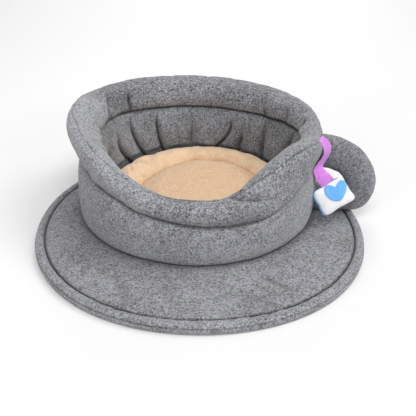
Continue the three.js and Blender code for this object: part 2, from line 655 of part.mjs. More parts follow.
/** One half of the tag's pillow, flat at its seam and crowned by height; grow widens its outline. */
function pillowHalf(height, grow) {
  const section = [
    { share: 0, crown: 0 },
    { share: 1, crown: 0 },
    { share: 0.985, crown: 0.16 },
    { share: 0.9, crown: 0.42 },
    { share: 0.72, crown: 0.72 },
    { share: 0.48, crown: 0.91 },
    { share: 0.22, crown: 0.985 },
    { share: 0, crown: 1 },
  ];
  return turnedForm(section, evenColumns(36), (row, azimuth) => {
    const turn = azimuth * DEGREE;
    const reach = tagOutline(turn) * row.share;
    return {
      x: reach * Math.cos(turn) * (TAG_WIDTH + grow),
      y: reach * Math.sin(turn) * (TAG_HEIGHT + grow),
      z: height * row.crown,
    };
  });
}

/** Height of the pillow's front at a point, from the same crown. */
function frontHeight(x, y) {
  const turn = Math.atan2(y / TAG_HEIGHT, x / TAG_WIDTH);
  const share = Math.hypot(x / TAG_WIDTH, y / TAG_HEIGHT) / tagOutline(turn);
  return TAG_FRONT_CROWN * Math.sqrt(Math.max(0, 1 - share ** 2.1));
}

/** Outline of a heart about its middle, width 1, by the usual sine formula, with a blunter tip. */
function heartPoint(turn) {
  const x = 16 * Math.sin(turn) ** 3;
  const y = 13 * Math.cos(turn) - 5 * Math.cos(2 * turn) - 2 * Math.cos(3 * turn) - Math.cos(4 * turn);
  const high = (y + 2.5) / 32;
  return { x: x / 32, y: high < -0.3 ? -0.3 + (high + 0.3) * 0.6 : high };
}

/** The heart sewn on the tag's front, a thin layer that follows its crown. */
function heartForm() {
  const section = [
    { share: 0, top: 0 },
    { share: 0.35, top: 0 },
    { share: 0.7, top: 0 },
    { share: 1, top: 0 },
    { share: 1, top: 0.7 },
    { share: 0.94, top: 1 },
    { share: 0.6, top: 1 },
    { share: 0.3, top: 1 },
    { share: 0, top: 1 },
  ];
  const lean = HEART_TURN * DEGREE;
  return turnedForm(section, evenColumns(36), (row, azimuth) => {
    const p = heartPoint(azimuth * DEGREE);
    const reach = row.share * HEART_WIDTH;
    const x = HEART_OFFSET.x + reach * (p.x * Math.cos(lean) - p.y * Math.sin(lean));
    const y = HEART_OFFSET.y + reach * (p.x * Math.sin(lean) + p.y * Math.cos(lean));
    return { x, y, z: frontHeight(x, y) + 2 * GAP + row.top * HEART_THICKNESS };
  });
}

/** A flat felt strip along a course. */
function stripAlong(rows, steps) {
  const course = new THREE.CatmullRomCurve3(rows.map((row) => new THREE.Vector3(...row.at)));
  const sides = new THREE.CatmullRomCurve3(rows.map((row) => new THREE.Vector3(...row.side)));
  const geometry = new THREE.BoxGeometry(RIBBON_WIDTH, RIBBON_THICKNESS, 1, 1, 1, steps);
  const position = geometry.attributes.position;
  for (let k = 0; k < position.count; k += 1) {
    const t = THREE.MathUtils.clamp(position.getZ(k) + 0.5, 0, 1);
    const ahead = course.getTangent(t);
    const face = new THREE.Vector3().crossVectors(ahead, sides.getPoint(t)).normalize();
    const side = new THREE.Vector3().crossVectors(face, ahead).normalize();
    const point = course.getPoint(t);
    point.addScaledVector(side, position.getX(k)).addScaledVector(face, position.getY(k));
    position.setXYZ(k, point.x, point.y, point.z);
  }
  return closeUp(geometry);
}

/** The felt ribbon: it loops from the crest, folds at the wall and hangs to the tag. */
function ribbonForm() {
  const upper = solidOf(stripAlong(RIBBON_UPPER, 20));
  const lower = solidOf(stripAlong(RIBBON_LOWER, 8));
  const cut = upper.add(lower).subtract(cupSolid().translate([CUP_CENTRE.x, CUP_CENTRE.y, 0]));
  return geometryOf(largestPiece(cut));
}

/** A named mesh of one finish. */
function piece(name, geometry, finish) {
  const mesh = new THREE.Mesh(geometry, finish);
  mesh.name = name;
  return mesh;
}

/** A cloth finish of one colour. */
function cloth(color) {
  return new THREE.MeshStandardMaterial({ color, roughness: 0.95, metalness: 0 });
}

const bed = new THREE.Group();

const saucer = new THREE.Group();
saucer.add(piece("saucer_mat", matForm(), cloth("#8e9096")));
saucer.add(piece("saucer_edge", edgeForm(), cloth("#94969c")));
bed.add(saucer);

const cup = new THREE.Group();
cup.position.set(CUP_CENTRE.x, CUP_CENTRE.y, 0);
cup.add(piece("cup_wall", wallForm(), cloth("#8a8c91")));
cup.add(piece("cup_lining", liningForm(), cloth("#7d7f83")));
cup.add(piece("rim_roll", rollForm(), cloth("#8c8e93")));
cup.add(piece("cushion", cushionForm(), cloth("#e0bd98")));
cup.add(piece("handle", handleForm(), cloth("#85878c")));
bed.add(cup);

bed.add(piece("tag_ribbon", ribbonForm(), cloth("#d88ae0")));

const tag = new THREE.Group();
tag.position.set(TAG_CENTRE.x, TAG_CENTRE.y, TAG_CENTRE.z);
tag.rotation.set(TAG_TILT * DEGREE, 0, TAG_TURN * DEGREE, "XYZ");
tag.add(piece("tag_front", pillowHalf(TAG_FRONT_CROWN, 0), cloth("#f2f2f4")));
const back = piece("tag_back", pillowHalf(TAG_BACK_CROWN, 1.6), cloth("#3f8fd6"));
back.rotation.y = Math.PI;
back.position.z = -GAP;
tag.add(back);
tag.add(piece("tag_heart", heartForm(), cloth("#5aa8f5")));
bed.add(tag);

export default bed;
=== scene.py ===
"""Cup-and-saucer pet bed: the cloth pieces of the part, sewn, stuffed and dressed for the render.

Lengths in the tables are millimetres in the part's own frame: +Z up, the low front at -Y, the handle at +X.
Azimuths are degrees from the front, positive to the right.
"""

import json
import logging
import math
from dataclasses import dataclass, replace
from enum import IntEnum
from typing import Callable, Optional, Sequence

import bpy
import numpy as np
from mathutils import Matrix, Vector

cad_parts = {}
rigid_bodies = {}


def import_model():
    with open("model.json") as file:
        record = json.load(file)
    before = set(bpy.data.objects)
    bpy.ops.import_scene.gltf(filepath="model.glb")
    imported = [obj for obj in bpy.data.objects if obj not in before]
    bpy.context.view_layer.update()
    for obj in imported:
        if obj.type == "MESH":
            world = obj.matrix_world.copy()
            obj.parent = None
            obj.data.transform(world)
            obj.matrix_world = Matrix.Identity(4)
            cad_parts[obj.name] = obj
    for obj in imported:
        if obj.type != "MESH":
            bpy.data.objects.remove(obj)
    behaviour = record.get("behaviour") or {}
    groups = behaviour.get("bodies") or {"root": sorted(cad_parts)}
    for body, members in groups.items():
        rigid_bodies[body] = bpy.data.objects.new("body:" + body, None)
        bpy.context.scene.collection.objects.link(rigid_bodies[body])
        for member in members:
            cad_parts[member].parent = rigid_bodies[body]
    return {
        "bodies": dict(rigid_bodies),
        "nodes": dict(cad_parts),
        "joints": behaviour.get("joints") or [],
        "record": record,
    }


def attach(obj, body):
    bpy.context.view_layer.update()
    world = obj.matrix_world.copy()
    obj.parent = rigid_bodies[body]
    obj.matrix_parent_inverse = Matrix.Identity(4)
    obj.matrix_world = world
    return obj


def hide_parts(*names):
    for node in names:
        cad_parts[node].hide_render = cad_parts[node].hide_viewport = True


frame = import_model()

LOG = logging.getLogger("pet_bed")
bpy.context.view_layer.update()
MM = 0.001
ROOT = "root"
Array = np.ndarray
Rows = Sequence[Sequence[float]]
Colour = tuple[float, float, float]

# Middle of the cup, height of its floor, and the clearance between pieces that are sewn together.
CUP_CENTRE = np.array([-6.5, 63.0, 0.0])
CUP_FLOOR = 18.3
GAP = 0.3


def smoothstep(low: float, high: float, value: Array) -> Array:
    """Ease from 0 at low to 1 at high."""
    t = np.clip((np.asarray(value, float) - low) / (high - low), 0.0, 1.0)
    return t * t * (3.0 - 2.0 * t)


def bell(distance: Array, half: float) -> Array:
    """Bell curve, 1 at 0 and nearly 0 past two half widths."""
    return np.exp(-((np.asarray(distance, float) / half) ** 2))


def turn_between(start: float, end: Array) -> Array:
    """Smallest signed turn in degrees from one azimuth to others."""
    return (np.asarray(end, float) - start + 540.0) % 360.0 - 180.0


def polar(radius: Array, azimuth: Array, z: Array) -> Array:
    """Points at radii, azimuths and heights.

    Args:
        radius: Distances from the axis.
        azimuth: Degrees from the front.
        z: Heights.

    Returns:
        An array with x, y and z on its last axis.
    """
    turn = np.radians(azimuth)
    return np.stack(np.broadcast_arrays(radius * np.sin(turn), -radius * np.cos(turn), z), axis=-1)


def clumps(points: Array, size: float, seed: int) -> Array:
    """Smooth unevenness from -1 to 1.

    Args:
        points: Points with x, y and z on the last axis.
        size: Distance between lumps.
        seed: Which of the patterns.

    Returns:
        One value for each point.
    """
    place = np.asarray(points, float) / size + 19.37 * seed
    cell = np.floor(place).astype(np.int64)
    part = place - cell
    part = part * part * (3.0 - 2.0 * part)
    total = np.zeros(place.shape[:-1])
    for corner in range(8):
        step = np.array([corner & 1, (corner >> 1) & 1, (corner >> 2) & 1])
        at = cell + step
        mixed = at[..., 0] * 73856093 ^ at[..., 1] * 19349663 ^ at[..., 2] * 83492791
        mixed = (mixed ^ (mixed >> 13)) * 1274126177
        value = ((mixed ^ (mixed >> 16)) & 0xFFFF) / 32767.5 - 1.0
        total += value * np.prod(np.where(step == 1, part, 1.0 - part), axis=-1)
    return total


def layers(points: Array, *rows: tuple[float, float, int]) -> Array:
    """Patterns of unevenness on top of each other, each with its height, size and seed."""
    return sum(height * clumps(points, size, seed) for height, size, seed in rows)


def around(points: Array, centre: Sequence[float] = (0.0, 0.0)) -> tuple[Array, Array]:
    """Distances of points from an upright axis, and their azimuths about it."""
    x, y = points[..., 0] - centre[0], points[..., 1] - centre[1]
    return np.hypot(x, y), np.degrees(np.arctan2(x, -y))


def azimuths(columns: int) -> Array:
    """Azimuths of a grid's columns, all the way round."""
    return np.linspace(-180.0, 180.0, columns, endpoint=False)[:, None]


def signed_power(value: Array, power: float) -> Array:
    """A power of a value that keeps its sign."""
    return np.sign(value) * np.abs(value) ** power


def unit(vectors: Array) -> Array:
    """Vectors made one long."""
    return vectors / np.maximum(np.linalg.norm(vectors, axis=-1, keepdims=True), 1e-9)


class Course:
    """A closed course round an axis, given by rows at rising azimuths."""

    def __init__(self, names: str, rows: Rows) -> None:
        """Keep the rows.

        Args:
            names: Names of the columns, the azimuth first.
            rows: The rows, in order of azimuth.
        """
        self.names = names.split()
        self.rows = np.array(rows, float)

    def at(self, name: str, azimuth: Array) -> Array:
        """Value of one column, by a periodic cubic through the rows.

        Args:
            name: The column.
            azimuth: Degrees, one or many.

        Returns:
            The column's values there.
        """
        turned = (np.asarray(azimuth, float) + 180.0) % 360.0 - 180.0
        angle = self.rows[:, 0]
        value = self.rows[:, self.names.index(name)]
        count = len(angle)
        long_angle = np.concatenate([angle[-2:] - 360.0, angle, angle[:3] + 360.0])
        long_value = np.concatenate([value[-2:], value, value[:3]])
        slope = np.gradient(long_value, long_angle)
        slope[1:-1] = (long_value[2:] - long_value[:-2]) / (long_angle[2:] - long_angle[:-2])
        row = np.clip(np.searchsorted(angle, turned, side="right") + 1, 1, count + 2)
        span = long_angle[row + 1] - long_angle[row]
        t = (turned - long_angle[row]) / span
        return (
            (2 * t**3 - 3 * t**2 + 1) * long_value[row]
            + (t**3 - 2 * t**2 + t) * span * slope[row]
            + (3 * t**2 - 2 * t**3) * long_value[row + 1]
            + (t**3 - t**2) * span * slope[row + 1]
        )


def spline(
    rows: Rows,
    count: int,
    closed: bool = False,
    weight: Sequence[float] = (1.0,),
    crowd: Sequence[tuple[float, float]] = ((0.0, 1.0),),
) -> Array:
    """A smooth line through rows, cut into even steps.

    Args:
        rows: Its points, of any number of values.
        count: How many points to give back.
        closed: Whether it runs back to its start.
        weight: What a unit of each value counts for in the length.
        crowd: Shares of the length, each with how closely the points stand there.

    Returns:
        The points, count rows of as many values.
    """
    knots = np.array(rows, float)
    if closed:
        knots = np.vstack([knots[-1:], knots, knots[:2]])
    else:
        knots = np.vstack([2 * knots[0] - knots[1], knots, 2 * knots[-1] - knots[-2]])
    steps_a_span = 40
    t = np.linspace(0.0, 1.0, steps_a_span, endpoint=False)[:, None]
    fine = []
    for k in range(1, len(knots) - 2):
        a, b, c, d = knots[k - 1 : k + 3]
        bend = (2 * a - 5 * b + 4 * c - d) * t**2 + (3 * b - a - 3 * c + d) * t**3
        fine.append(0.5 * (2 * b + (c - a) * t + bend))
    fine.append(knots[-2:-1])
    line = np.vstack(fine)
    scale = np.resize(np.array(weight, float), line.shape[1])
    step = np.linalg.norm(np.diff(line * scale, axis=0), axis=1)
    share = np.cumsum(step) / np.sum(step)
    step = step * np.interp(share, [row[0] for row in crowd], [row[1] for row in crowd])
    length = np.concatenate([[0.0], np.cumsum(step)])
    want = np.linspace(0.0, length[-1], count + 1 if closed else count)[:count]
    return np.stack([np.interp(want, length, line[:, k]) for k in range(line.shape[1])], axis=1)


def section_of(*parts: tuple[Rows, int, float], closed: bool = False) -> Array:
    """A section made of parts that meet at corners.

    Args:
        parts: For each part its rows, how many points it gets, and what the second value counts for.
        closed: Whether the last part ends where the first starts.

    Returns:
        The points of the whole section.
    """
    lines = [spline(rows, count, weight=(1.0, second)) for rows, count, second in parts]
    kept = [line[:-1] for line in lines[:-1]] + [lines[-1][:-1] if closed else lines[-1]]
    return np.vstack(kept)


def section_rows(section: Array, top: float = math.inf) -> tuple[Array, Array]:
    """A section's radii and heights, each as one row, with the heights kept from 0 to a top."""
    return section[None, :, 0], np.clip(section[None, :, 1], 0.0, top)


def swollen(grid: Array, height: Array) -> Array:
    """A grid that closes both ways, moved outwards.

    Args:
        grid: Columns, rows, and x, y, z.
        height: How far each point moves.

    Returns:
        The moved grid.
    """
    round_way = np.roll(grid, -1, axis=0) - np.roll(grid, 1, axis=0)
    up_way = np.roll(grid, -1, axis=1) - np.roll(grid, 1, axis=1)
    return grid + height[..., None] * unit(np.cross(round_way, up_way))


def add_object(
    name: str, points: Array, faces: list, finish: Optional[bpy.types.Material] = None, **marks: Array
) -> bpy.types.Object:
    """A smooth-shaded object from points in millimetres.

    Args:
        name: Its name.
        points: Its points.
        faces: Its faces, as lists of point numbers.
        finish: Its material, if it has one.
        marks: Numbers for its points that the finish reads, by name.

    Returns:
        The object, at the origin.
    """
    mesh = bpy.data.meshes.new(name)
    mesh.from_pydata((np.asarray(points, float).reshape(-1, 3) * MM).tolist(), [], faces)
    mesh.polygons.foreach_set("use_smooth", [True] * len(mesh.polygons))
    mesh.update()
    for mark, values in marks.items():
        layer = mesh.attributes.new(mark, "FLOAT", "POINT")
        layer.data.foreach_set("value", np.asarray(values, np.float32).ravel())
    if finish is not None:
        mesh.materials.append(finish)
    obj = bpy.data.objects.new(name, mesh)
    bpy.context.scene.collection.objects.link(obj)
    return obj


def ring_faces(columns: int, rows: int, closed_rows: bool) -> list:
    """Faces of a grid that closes round its axis.

    Args:
        columns: How many columns it has.
        rows: How many rows it has.
        closed_rows: Whether each column closes on itself too.

    Returns:
        The faces, as lists of point numbers.
    """
    column = np.arange(columns)[:, None]
    row = np.arange(rows if closed_rows else rows - 1)[None, :]
    ahead, above = (column + 1) % columns, (row + 1) % rows
    corners = [column * rows + row, ahead * rows + row, ahead * rows + above, column * rows + above]
    return np.stack(np.broadcast_arrays(*corners), axis=-1).reshape(-1, 4).tolist()


def with_poles(values: Array) -> Array:
    """Values of a grid whose first and last rows are poles: those between, then one for each pole."""
    between = values[:, 1:-1].reshape(-1, *values.shape[2:])
    return np.concatenate([between, values[:1, 0], values[:1, -1]])


def pole_faces(columns: int, rows: int) -> list:
    """Faces of a grid whose first and last rows are poles.

    Args:
        columns: How many columns it has.
        rows: How many rows it has, with the poles.

    Returns:
        The faces, for points in the order of with_poles.
    """
    count = rows - 2
    faces = ring_faces(columns, count, False)
    low, high = columns * count, columns * count + 1
    for k in range(columns):
        ahead = (k + 1) % columns
        faces.append([low, ahead * count, k * count])
        faces.append([high, k * count + count - 1, ahead * count + count - 1])
    return faces


def capped(rings: Array) -> Array:
    """A grid with poles from the rings of a tube, each end closed at its middle."""
    first, last = (np.broadcast_to(ring.mean(axis=0), ring.shape) for ring in (rings[0], rings[-1]))
    return np.stack([first, *rings, last], axis=1)


def round_object(
    name: str, grid: Array, finish: bpy.types.Material, fold: Array, nap: Array = 0.0, poles: bool = False
) -> bpy.types.Object:
    """An object from a grid that closes round its axis.

    Args:
        name: Its name.
        grid: Columns, rows, and x, y, z in millimetres.
        finish: Its material.
        fold: How dark painted shade makes each point in folds, seams, creases and where pieces meet, 0 to 1.
        nap: Painted light and shade, lighter above 0 and darker below it.
        poles: Whether the first and last rows are poles. If not, each column closes on itself.

    Returns:
        The object.
    """
    shape = grid.shape[:2]
    fold, nap = np.broadcast_to(fold, shape), np.broadcast_to(nap, shape)
    if poles:
        grid, fold, nap = with_poles(grid), with_poles(fold), with_poles(nap)
        return add_object(name, grid, pole_faces(*shape), finish, fold=fold, nap=nap)
    return add_object(name, grid, ring_faces(*shape, True), finish, fold=fold, nap=nap)


def turn_out(obj: bpy.types.Object) -> None:
    """Turn a closed mesh's faces outwards when its volume comes out negative.

    Args:
        obj: The object with the mesh.
    """
    mesh = obj.data
    mesh.calc_loop_triangles()
    volume = 0.0
    for triangle in mesh.loop_triangles:
        a, b, c = (mesh.vertices[k].co for k in triangle.vertices)
        volume += a.dot(b.cross(c))
    if volume < 0:
        mesh.flip_normals()


def point_places(mesh: bpy.types.Mesh) -> Array:
    """Places of a mesh's points.

    Args:
        mesh: The mesh.

    Returns:
        The places in millimetres.
    """
    places = np.empty(len(mesh.vertices) * 3)
    mesh.vertices.foreach_get("co", places)
    return places.reshape(-1, 3) / MM


@dataclass(frozen=True)
class Puffing:
    """Air pressure that puffs a closed piece up as cloth."""

    voxel: float
    cap: float
    growth: float
    pressure: float = 4.0
    frames: int = 20
    levels: int = 2

    def modify(self, obj: bpy.types.Object, kind: str, **settings: object) -> None:
        """Add a modifier to an object and apply it.

        Args:
            obj: The object.
            kind: Which modifier.
            settings: Its settings by name.
        """
        modifier = obj.modifiers.new(kind.lower(), kind)
        for name, value in settings.items():
            setattr(modifier, name, value)
        bpy.context.view_layer.objects.active = obj
        bpy.ops.object.modifier_apply(modifier=modifier.name)

    def simulate(self, obj: bpy.types.Object, held: Array) -> Array:
        """Run the cloth and give back where the points end up.

        Args:
            obj: The remeshed piece.
            held: Which points stay where they are.

        Returns:
            Their places in millimetres, no further from the start than the cap.
        """
        start = point_places(obj.data)
        group = obj.vertex_groups.new(name="held")
        group.add(np.flatnonzero(held).tolist(), 1.0, "REPLACE")
        cloth = obj.modifiers.new("cloth", "CLOTH")
        values = {
            "quality": 5,
            "mass": 0.3,
            "tension_stiffness": 12.0,
            "compression_stiffness": 12.0,
            "shear_stiffness": 5.0,
            "bending_stiffness": 0.3,
            "shrink_min": -self.growth,
            "use_pressure": True,
            "uniform_pressure_force": self.pressure,
            "vertex_group_mass": group.name,
        }
        for name, value in values.items():
            setattr(cloth.settings, name, value)
        cloth.settings.effector_weights.gravity = 0.0
        cloth.collision_settings.use_collision = False
        for frame in range(1, self.frames + 1):
            bpy.context.scene.frame_set(frame)
        shape = obj.evaluated_get(bpy.context.evaluated_depsgraph_get())
        ended = point_places(shape.data)
        obj.modifiers.remove(cloth)
        bpy.context.scene.frame_set(1)
        moved = ended - start
        far = np.linalg.norm(moved, axis=1, keepdims=True)
        LOG.info("%s moved %.2f mm on average, %.2f mm at most", obj.name, far.mean(), far.max())
        return start + moved * np.minimum(1.0, self.cap / np.maximum(far, 1e-6))

    def run(
        self, name: str, points: Array, faces: list, held: Callable[[Array], Array]
    ) -> tuple[Array, list]:
        """Puff a closed piece up.

        Args:
            name: A name for the log.
            points: Its points in millimetres.
            faces: Its faces.
            held: Tells from places which points stay where they are.

        Returns:
            The points and faces of the puffed piece.
        """
        obj = add_object(name, points, faces)
        obj.select_set(True)
        self.modify(obj, "REMESH", mode="VOXEL", voxel_size=self.voxel * MM)
        places = self.simulate(obj, held(point_places(obj.data)))
        obj.data.vertices.foreach_set("co", (places * MM).ravel())
        self.modify(obj, "SUBSURF", levels=self.levels)
        places = point_places(obj.data)
        made = [list(face.vertices) for face in obj.data.polygons]
        bpy.data.objects.remove(obj, do_unlink=True)
        return places, made


# Course of the rim: heights of the crest and of the two seams, the roll's middle radius and half width,
# how far its top leans out, how far the inside of the cup is let out from its round,
# and how far the outer seam is drawn in from its round.
RIM = Course(
    "azimuth crest outer inner middle half lean out tuck",
    [
        (-180, 179.5, 121, 131, 182, 25, 8, 0, 0), (-160, 182, 121, 133, 182, 25, 9, 0, 0),
        (-140, 186, 121, 139, 183.5, 26, 12, 0, 0), (-120, 190, 121, 145, 185, 26.5, 15, 0, 1),
        (-100, 193, 121, 146, 184, 26, 18, 0, 4), (-85, 191, 124, 145, 183.2, 23.8, 23, 0, 5),
        (-72, 185.5, 129, 141, 183.8, 21.7, 23, 0, 4), (-60, 178, 126, 136, 183.5, 21, 18, 0, 2),
        (-50, 169, 121, 128, 184.5, 20, 14, 0, 0), (-38, 152.5, 113, 114, 185, 19.5, 8, 0, 0),
        (-25, 136, 103, 101, 185, 19.5, 4, 0, 0), (-12, 127, 94.5, 94, 184, 19.5, 2, 0, 0),
        (2, 123, 88.5, 91, 184, 19.5, 2, 0, 0), (12, 122.5, 86, 91, 184, 19.5, 2, 0, 0),
        (20, 131.5, 84.5, 95, 184, 20, 2, 0, 0), (29, 150, 86, 105, 183, 21, 4, 1, 0),
        (38, 164, 95, 118, 182, 22, 6, 3, 0), (50, 179.5, 110, 132, 184, 21, 8, 6, 0),
        (62, 178, 116, 141, 187, 19, 8, 8, 0), (76, 167, 116, 146, 189, 18, 8, 10, 0),
        (92, 169, 117, 146, 190, 18.5, 9, 10, 0), (110, 174, 119, 140, 188, 21, 10, 6, 0),
        (130, 176, 120, 134, 184, 24, 9, 1, 0), (155, 177, 121, 130, 182, 25, 8, 0, 0),
    ],
)

# Outline of the saucer, a round a little out of true.
SAUCER_OUTLINE = Course(
    "azimuth radius",
    [
        (-180, 269), (-135, 271), (-90, 271.5), (-45, 274.5), (0, 270.5), (45, 275), (70, 272.5), (88, 268.5),
        (115, 264), (150, 266),
    ],
)

SEAM_OUTER = 192.5
SEAM_INNER = 165.0
# How much shallower the outer groove is where the roll runs smoothly into the wall.
MERGE = 6.5


def merged(azimuth: Array) -> Array:
    """How far the roll runs smoothly into the wall, 1 at the front right and 0 elsewhere."""
    return smoothstep(24.0, 38.0, azimuth) * smoothstep(74.0, 60.0, azimuth)


def seam_radii(azimuth: Array) -> tuple[Array, Array]:
    """Radii of the roll's inner and outer seams at an azimuth."""
    outer = SEAM_OUTER - RIM.at("tuck", azimuth) + MERGE * merged(azimuth)
    return SEAM_INNER + RIM.at("out", azimuth), outer


def seam_height(radius: Array, azimuth: Array) -> Array:
    """Height of the sloping line between the inner and the outer seam of the roll.

    Args:
        radius: Distance from the cup's axis.
        azimuth: Degrees from the front.

    Returns:
        The height there.
    """
    inner, outer = seam_radii(azimuth)
    share = np.clip((radius - inner) / (outer - inner), 0.0, 1.0)
    low, high = RIM.at("inner", azimuth), RIM.at("outer", azimuth)
    return low + share * (high - low)


class Noise(IntEnum):
    """Seeds of the patterns of unevenness."""

    FINE = 2
    WALL = 3
    WALL_FOOT = 4
    ROLL = 5
    WALL_FINE = 6
    ROLL_FINE = 7
    LINING = 8
    LINING_FINE = 9
    CUSHION = 11
    CUSHION_FINE = 12
    CUSHION_DIPS = 13
    MAT = 14
    MAT_FINE = CUSHION_TUCKS = 15
    EDGE = 17
    EDGE_LINE = 18
    HANDLE = 21
    HANDLE_FINE = 22
    TAG = 24
    CREST = 31
    CREST_LINE = 33


class Wiring:
    """Short names for adding and joining nodes in one tree."""

    def __init__(self, tree: bpy.types.NodeTree) -> None:
        """Keep the tree."""
        self.tree = tree

    def add(self, kind: str, settings: Optional[dict] = None, **sockets: object) -> bpy.types.Node:
        """Add a node.

        Args:
            kind: Its type, without the first words.
            settings: Its own settings by name.
            sockets: A number, colour or output for each named input.

        Returns:
            The node.
        """
        node = self.tree.nodes.new("ShaderNode" + kind)
        for name, value in (settings or {}).items():
            setattr(node, name, value)
        for name, value in sockets.items():
            self.feed(node.inputs[name], value)
        return node

    def feed(self, socket: bpy.types.NodeSocket, value: object) -> None:
        """Join an output to a socket, or set the socket's own value.

        Args:
            socket: The socket.
            value: An output, a number or a colour.
        """
        if isinstance(value, bpy.types.NodeSocket):
            self.tree.links.new(value, socket)
        else:
            socket.default_value = value

    def place(self) -> object:
        """Output of the places on the object."""
        return self.add("TexCoord").outputs["Object"]

    def mark(self, name: str) -> object:
        """Output of a number that the mesh holds for its points."""
        return self.add("Attribute", {"attribute_name": name}).outputs["Fac"]

    def math(self, operation: str, *values: object, clamp: bool = False) -> object:
        """Output of a Math node.

        Args:
            operation: Which sum it does.
            values: Its numbers or outputs, in order.
            clamp: Whether the result stays from 0 to 1.

        Returns:
            The node's output.
        """
        node = self.add("Math", {"operation": operation, "use_clamp": clamp})
        for socket, value in zip(node.inputs, values):
            self.feed(socket, value)
        return node.outputs[0]

    def scaled(self, value: object, factor: float, middle: float = 0.0) -> object:
        """How far an output is from a middle, times a factor."""
        return self.math("MULTIPLY_ADD", value, factor, -factor * middle)

    def total(self, *values: object, clamp: bool = False) -> object:
        """Sum of two or more outputs.

        Args:
            values: The outputs.
            clamp: Whether the sum stays from 0 to 1.

        Returns:
            The sum's output.
        """
        first, *between, last = values
        for value in between:
            first = self.math("ADD", first, value)
        return self.math("ADD", first, last, clamp=clamp)

    def noise(self, place: object, scale: object, detail: float, roughness: float, bend: float) -> object:
        """Value of a Noise Texture.

        Args:
            place: The coordinates' output.
            scale: How many lumps in a metre.
            detail: How many finer layers.
            roughness: How strong the finer layers are.
            bend: Distortion.

        Returns:
            The value's output.
        """
        values = {"Vector": place, "Scale": scale, "Detail": detail, "Roughness": roughness}
        return self.add("TexNoise", None, Distortion=bend, **values).outputs[0]

    def mix(self, share: object, first: object, second: object) -> object:
        """Output of a colour Mix node.

        Args:
            share: How much of the second colour.
            first: The first colour.
            second: The second colour.

        Returns:
            The colour's output.
        """
        node = self.add("Mix", {"data_type": "RGBA"})
        for number, value in ((0, share), (6, first), (7, second)):
            self.feed(node.inputs[number], value)
        return node.outputs[2]


def cloth_group(name: str, inputs: dict) -> tuple[Wiring, object, object]:
    """A new shader node group for a cloth, which puts out its colour, roughness and height.

    Args:
        name: Its name.
        inputs: Names of its inputs, each with its first value, a number or a colour.

    Returns:
        Its wiring, the outputs of its inputs by name, and the inputs of its outputs by name.
    """
    group = bpy.data.node_groups.new(name, "ShaderNodeTree")
    for socket, value in inputs.items():
        kind = "NodeSocketFloat" if isinstance(value, float) else "NodeSocketColor"
        group.interface.new_socket(socket, in_out="INPUT", socket_type=kind).default_value = value
    for socket in ("Color", "Roughness", "Height"):
        kind = "NodeSocketColor" if socket == "Color" else "NodeSocketFloat"
        group.interface.new_socket(socket, in_out="OUTPUT", socket_type=kind)
    into, out = group.nodes.new("NodeGroupInput"), group.nodes.new("NodeGroupOutput")
    return Wiring(group), into.outputs, out.inputs


def felt_group() -> bpy.types.NodeTree:
    """Group for felted fleece: short light and dark fibres felted together, painted shade down in folds.

    Returns:
        The group.
    """
    values = {"Dark": (0.1, 0.1, 0.1, 1), "Light": (0.4, 0.4, 0.4, 1), "Clump Scale": 330.0}
    values |= {"Fibre Scale": 760.0, "Contrast": 1.0, "Fold Shade": 0.45}
    wire, given, made = cloth_group("Felted Fibres", values)
    place = wire.place()
    clump = wire.noise(place, given["Clump Scale"], 3.0, 0.75, 0.6)
    fibre = wire.noise(place, given["Fibre Scale"], 3.0, 0.7, 1.8)
    broad = wire.noise(place, 16.0, 2.0, 0.5, 0.0)
    mottle = wire.noise(place, 70.0, 1.0, 0.5, 0.4)
    fibres = wire.total(wire.scaled(clump, 1.5, 0.5), wire.scaled(fibre, 1.25, 0.5))
    spread = wire.math("MULTIPLY", fibres, given["Contrast"])
    slow = wire.total(wire.scaled(broad, 0.35, 0.5), wire.scaled(mottle, 0.35, 0.5))
    # Painted light and shade: the nap mark lightens the cloth above 0 and darkens it below.
    nap = wire.math("MULTIPLY_ADD", wire.mark("nap"), 0.3, 0.5)
    cloth = wire.mix(wire.total(spread, nap, slow, clamp=True), given["Dark"], given["Light"])
    # Painted shade: the fold mark darkens the cloth towards near black in folds, seams and creases.
    deep = wire.math("MULTIPLY", wire.mark("fold"), given["Fold Shade"], clamp=True)
    wire.feed(made["Color"], wire.mix(deep, cloth, (0.012, 0.012, 0.014, 1)))
    wire.feed(made["Roughness"], wire.math("MULTIPLY_ADD", fibre, 0.16, 0.8))
    wire.feed(made["Height"], wire.total(wire.scaled(clump, 0.5), wire.scaled(fibre, 0.5)))
    return wire.tree


def plush_group() -> bpy.types.NodeTree:
    """Group for short plush: fine pile in soft patches, with warmer, darker painted shade in folds and seams.

    Returns:
        The group.
    """
    values = {"Tip": (0.7, 0.5, 0.3, 1), "Root": (0.5, 0.3, 0.2, 1), "Pile Scale": 900.0, "Patch Scale": 60.0}
    wire, given, made = cloth_group("Short Plush", values)
    place = wire.place()
    pile = wire.noise(place, given["Pile Scale"], 2.0, 0.6, 1.4)
    tuft = wire.noise(place, wire.scaled(given["Pile Scale"], 0.5), 2.0, 0.6, 0.8)
    patch = wire.noise(place, given["Patch Scale"], 3.0, 0.6, 0.6)
    uneven = (wire.scaled(pile, -0.9, 0.56), wire.scaled(tuft, -1.7, 0.5), wire.scaled(patch, 0.5, 0.5))
    # Painted shade from the fold mark, and lighter or darker with the nap mark.
    painted_shade_and_nap = (wire.scaled(wire.mark("nap"), -0.3), wire.scaled(wire.mark("fold"), 0.75))
    low = wire.total(*uneven, *painted_shade_and_nap, clamp=True)
    wire.feed(made["Color"], wire.mix(low, given["Tip"], given["Root"]))
    wire.feed(made["Roughness"], wire.math("MULTIPLY_ADD", patch, 0.12, 0.84))
    wire.feed(made["Height"], wire.total(pile, wire.scaled(patch, 0.5)))
    return wire.tree


def solid(colour: Colour) -> tuple[float, ...]:
    """A screen colour, 0 to 255 a channel, as a light value."""
    return (*(((c / 255 + 0.055) / 1.055) ** 2.4 if c > 10 else c / 3294.6 for c in colour), 1.0)


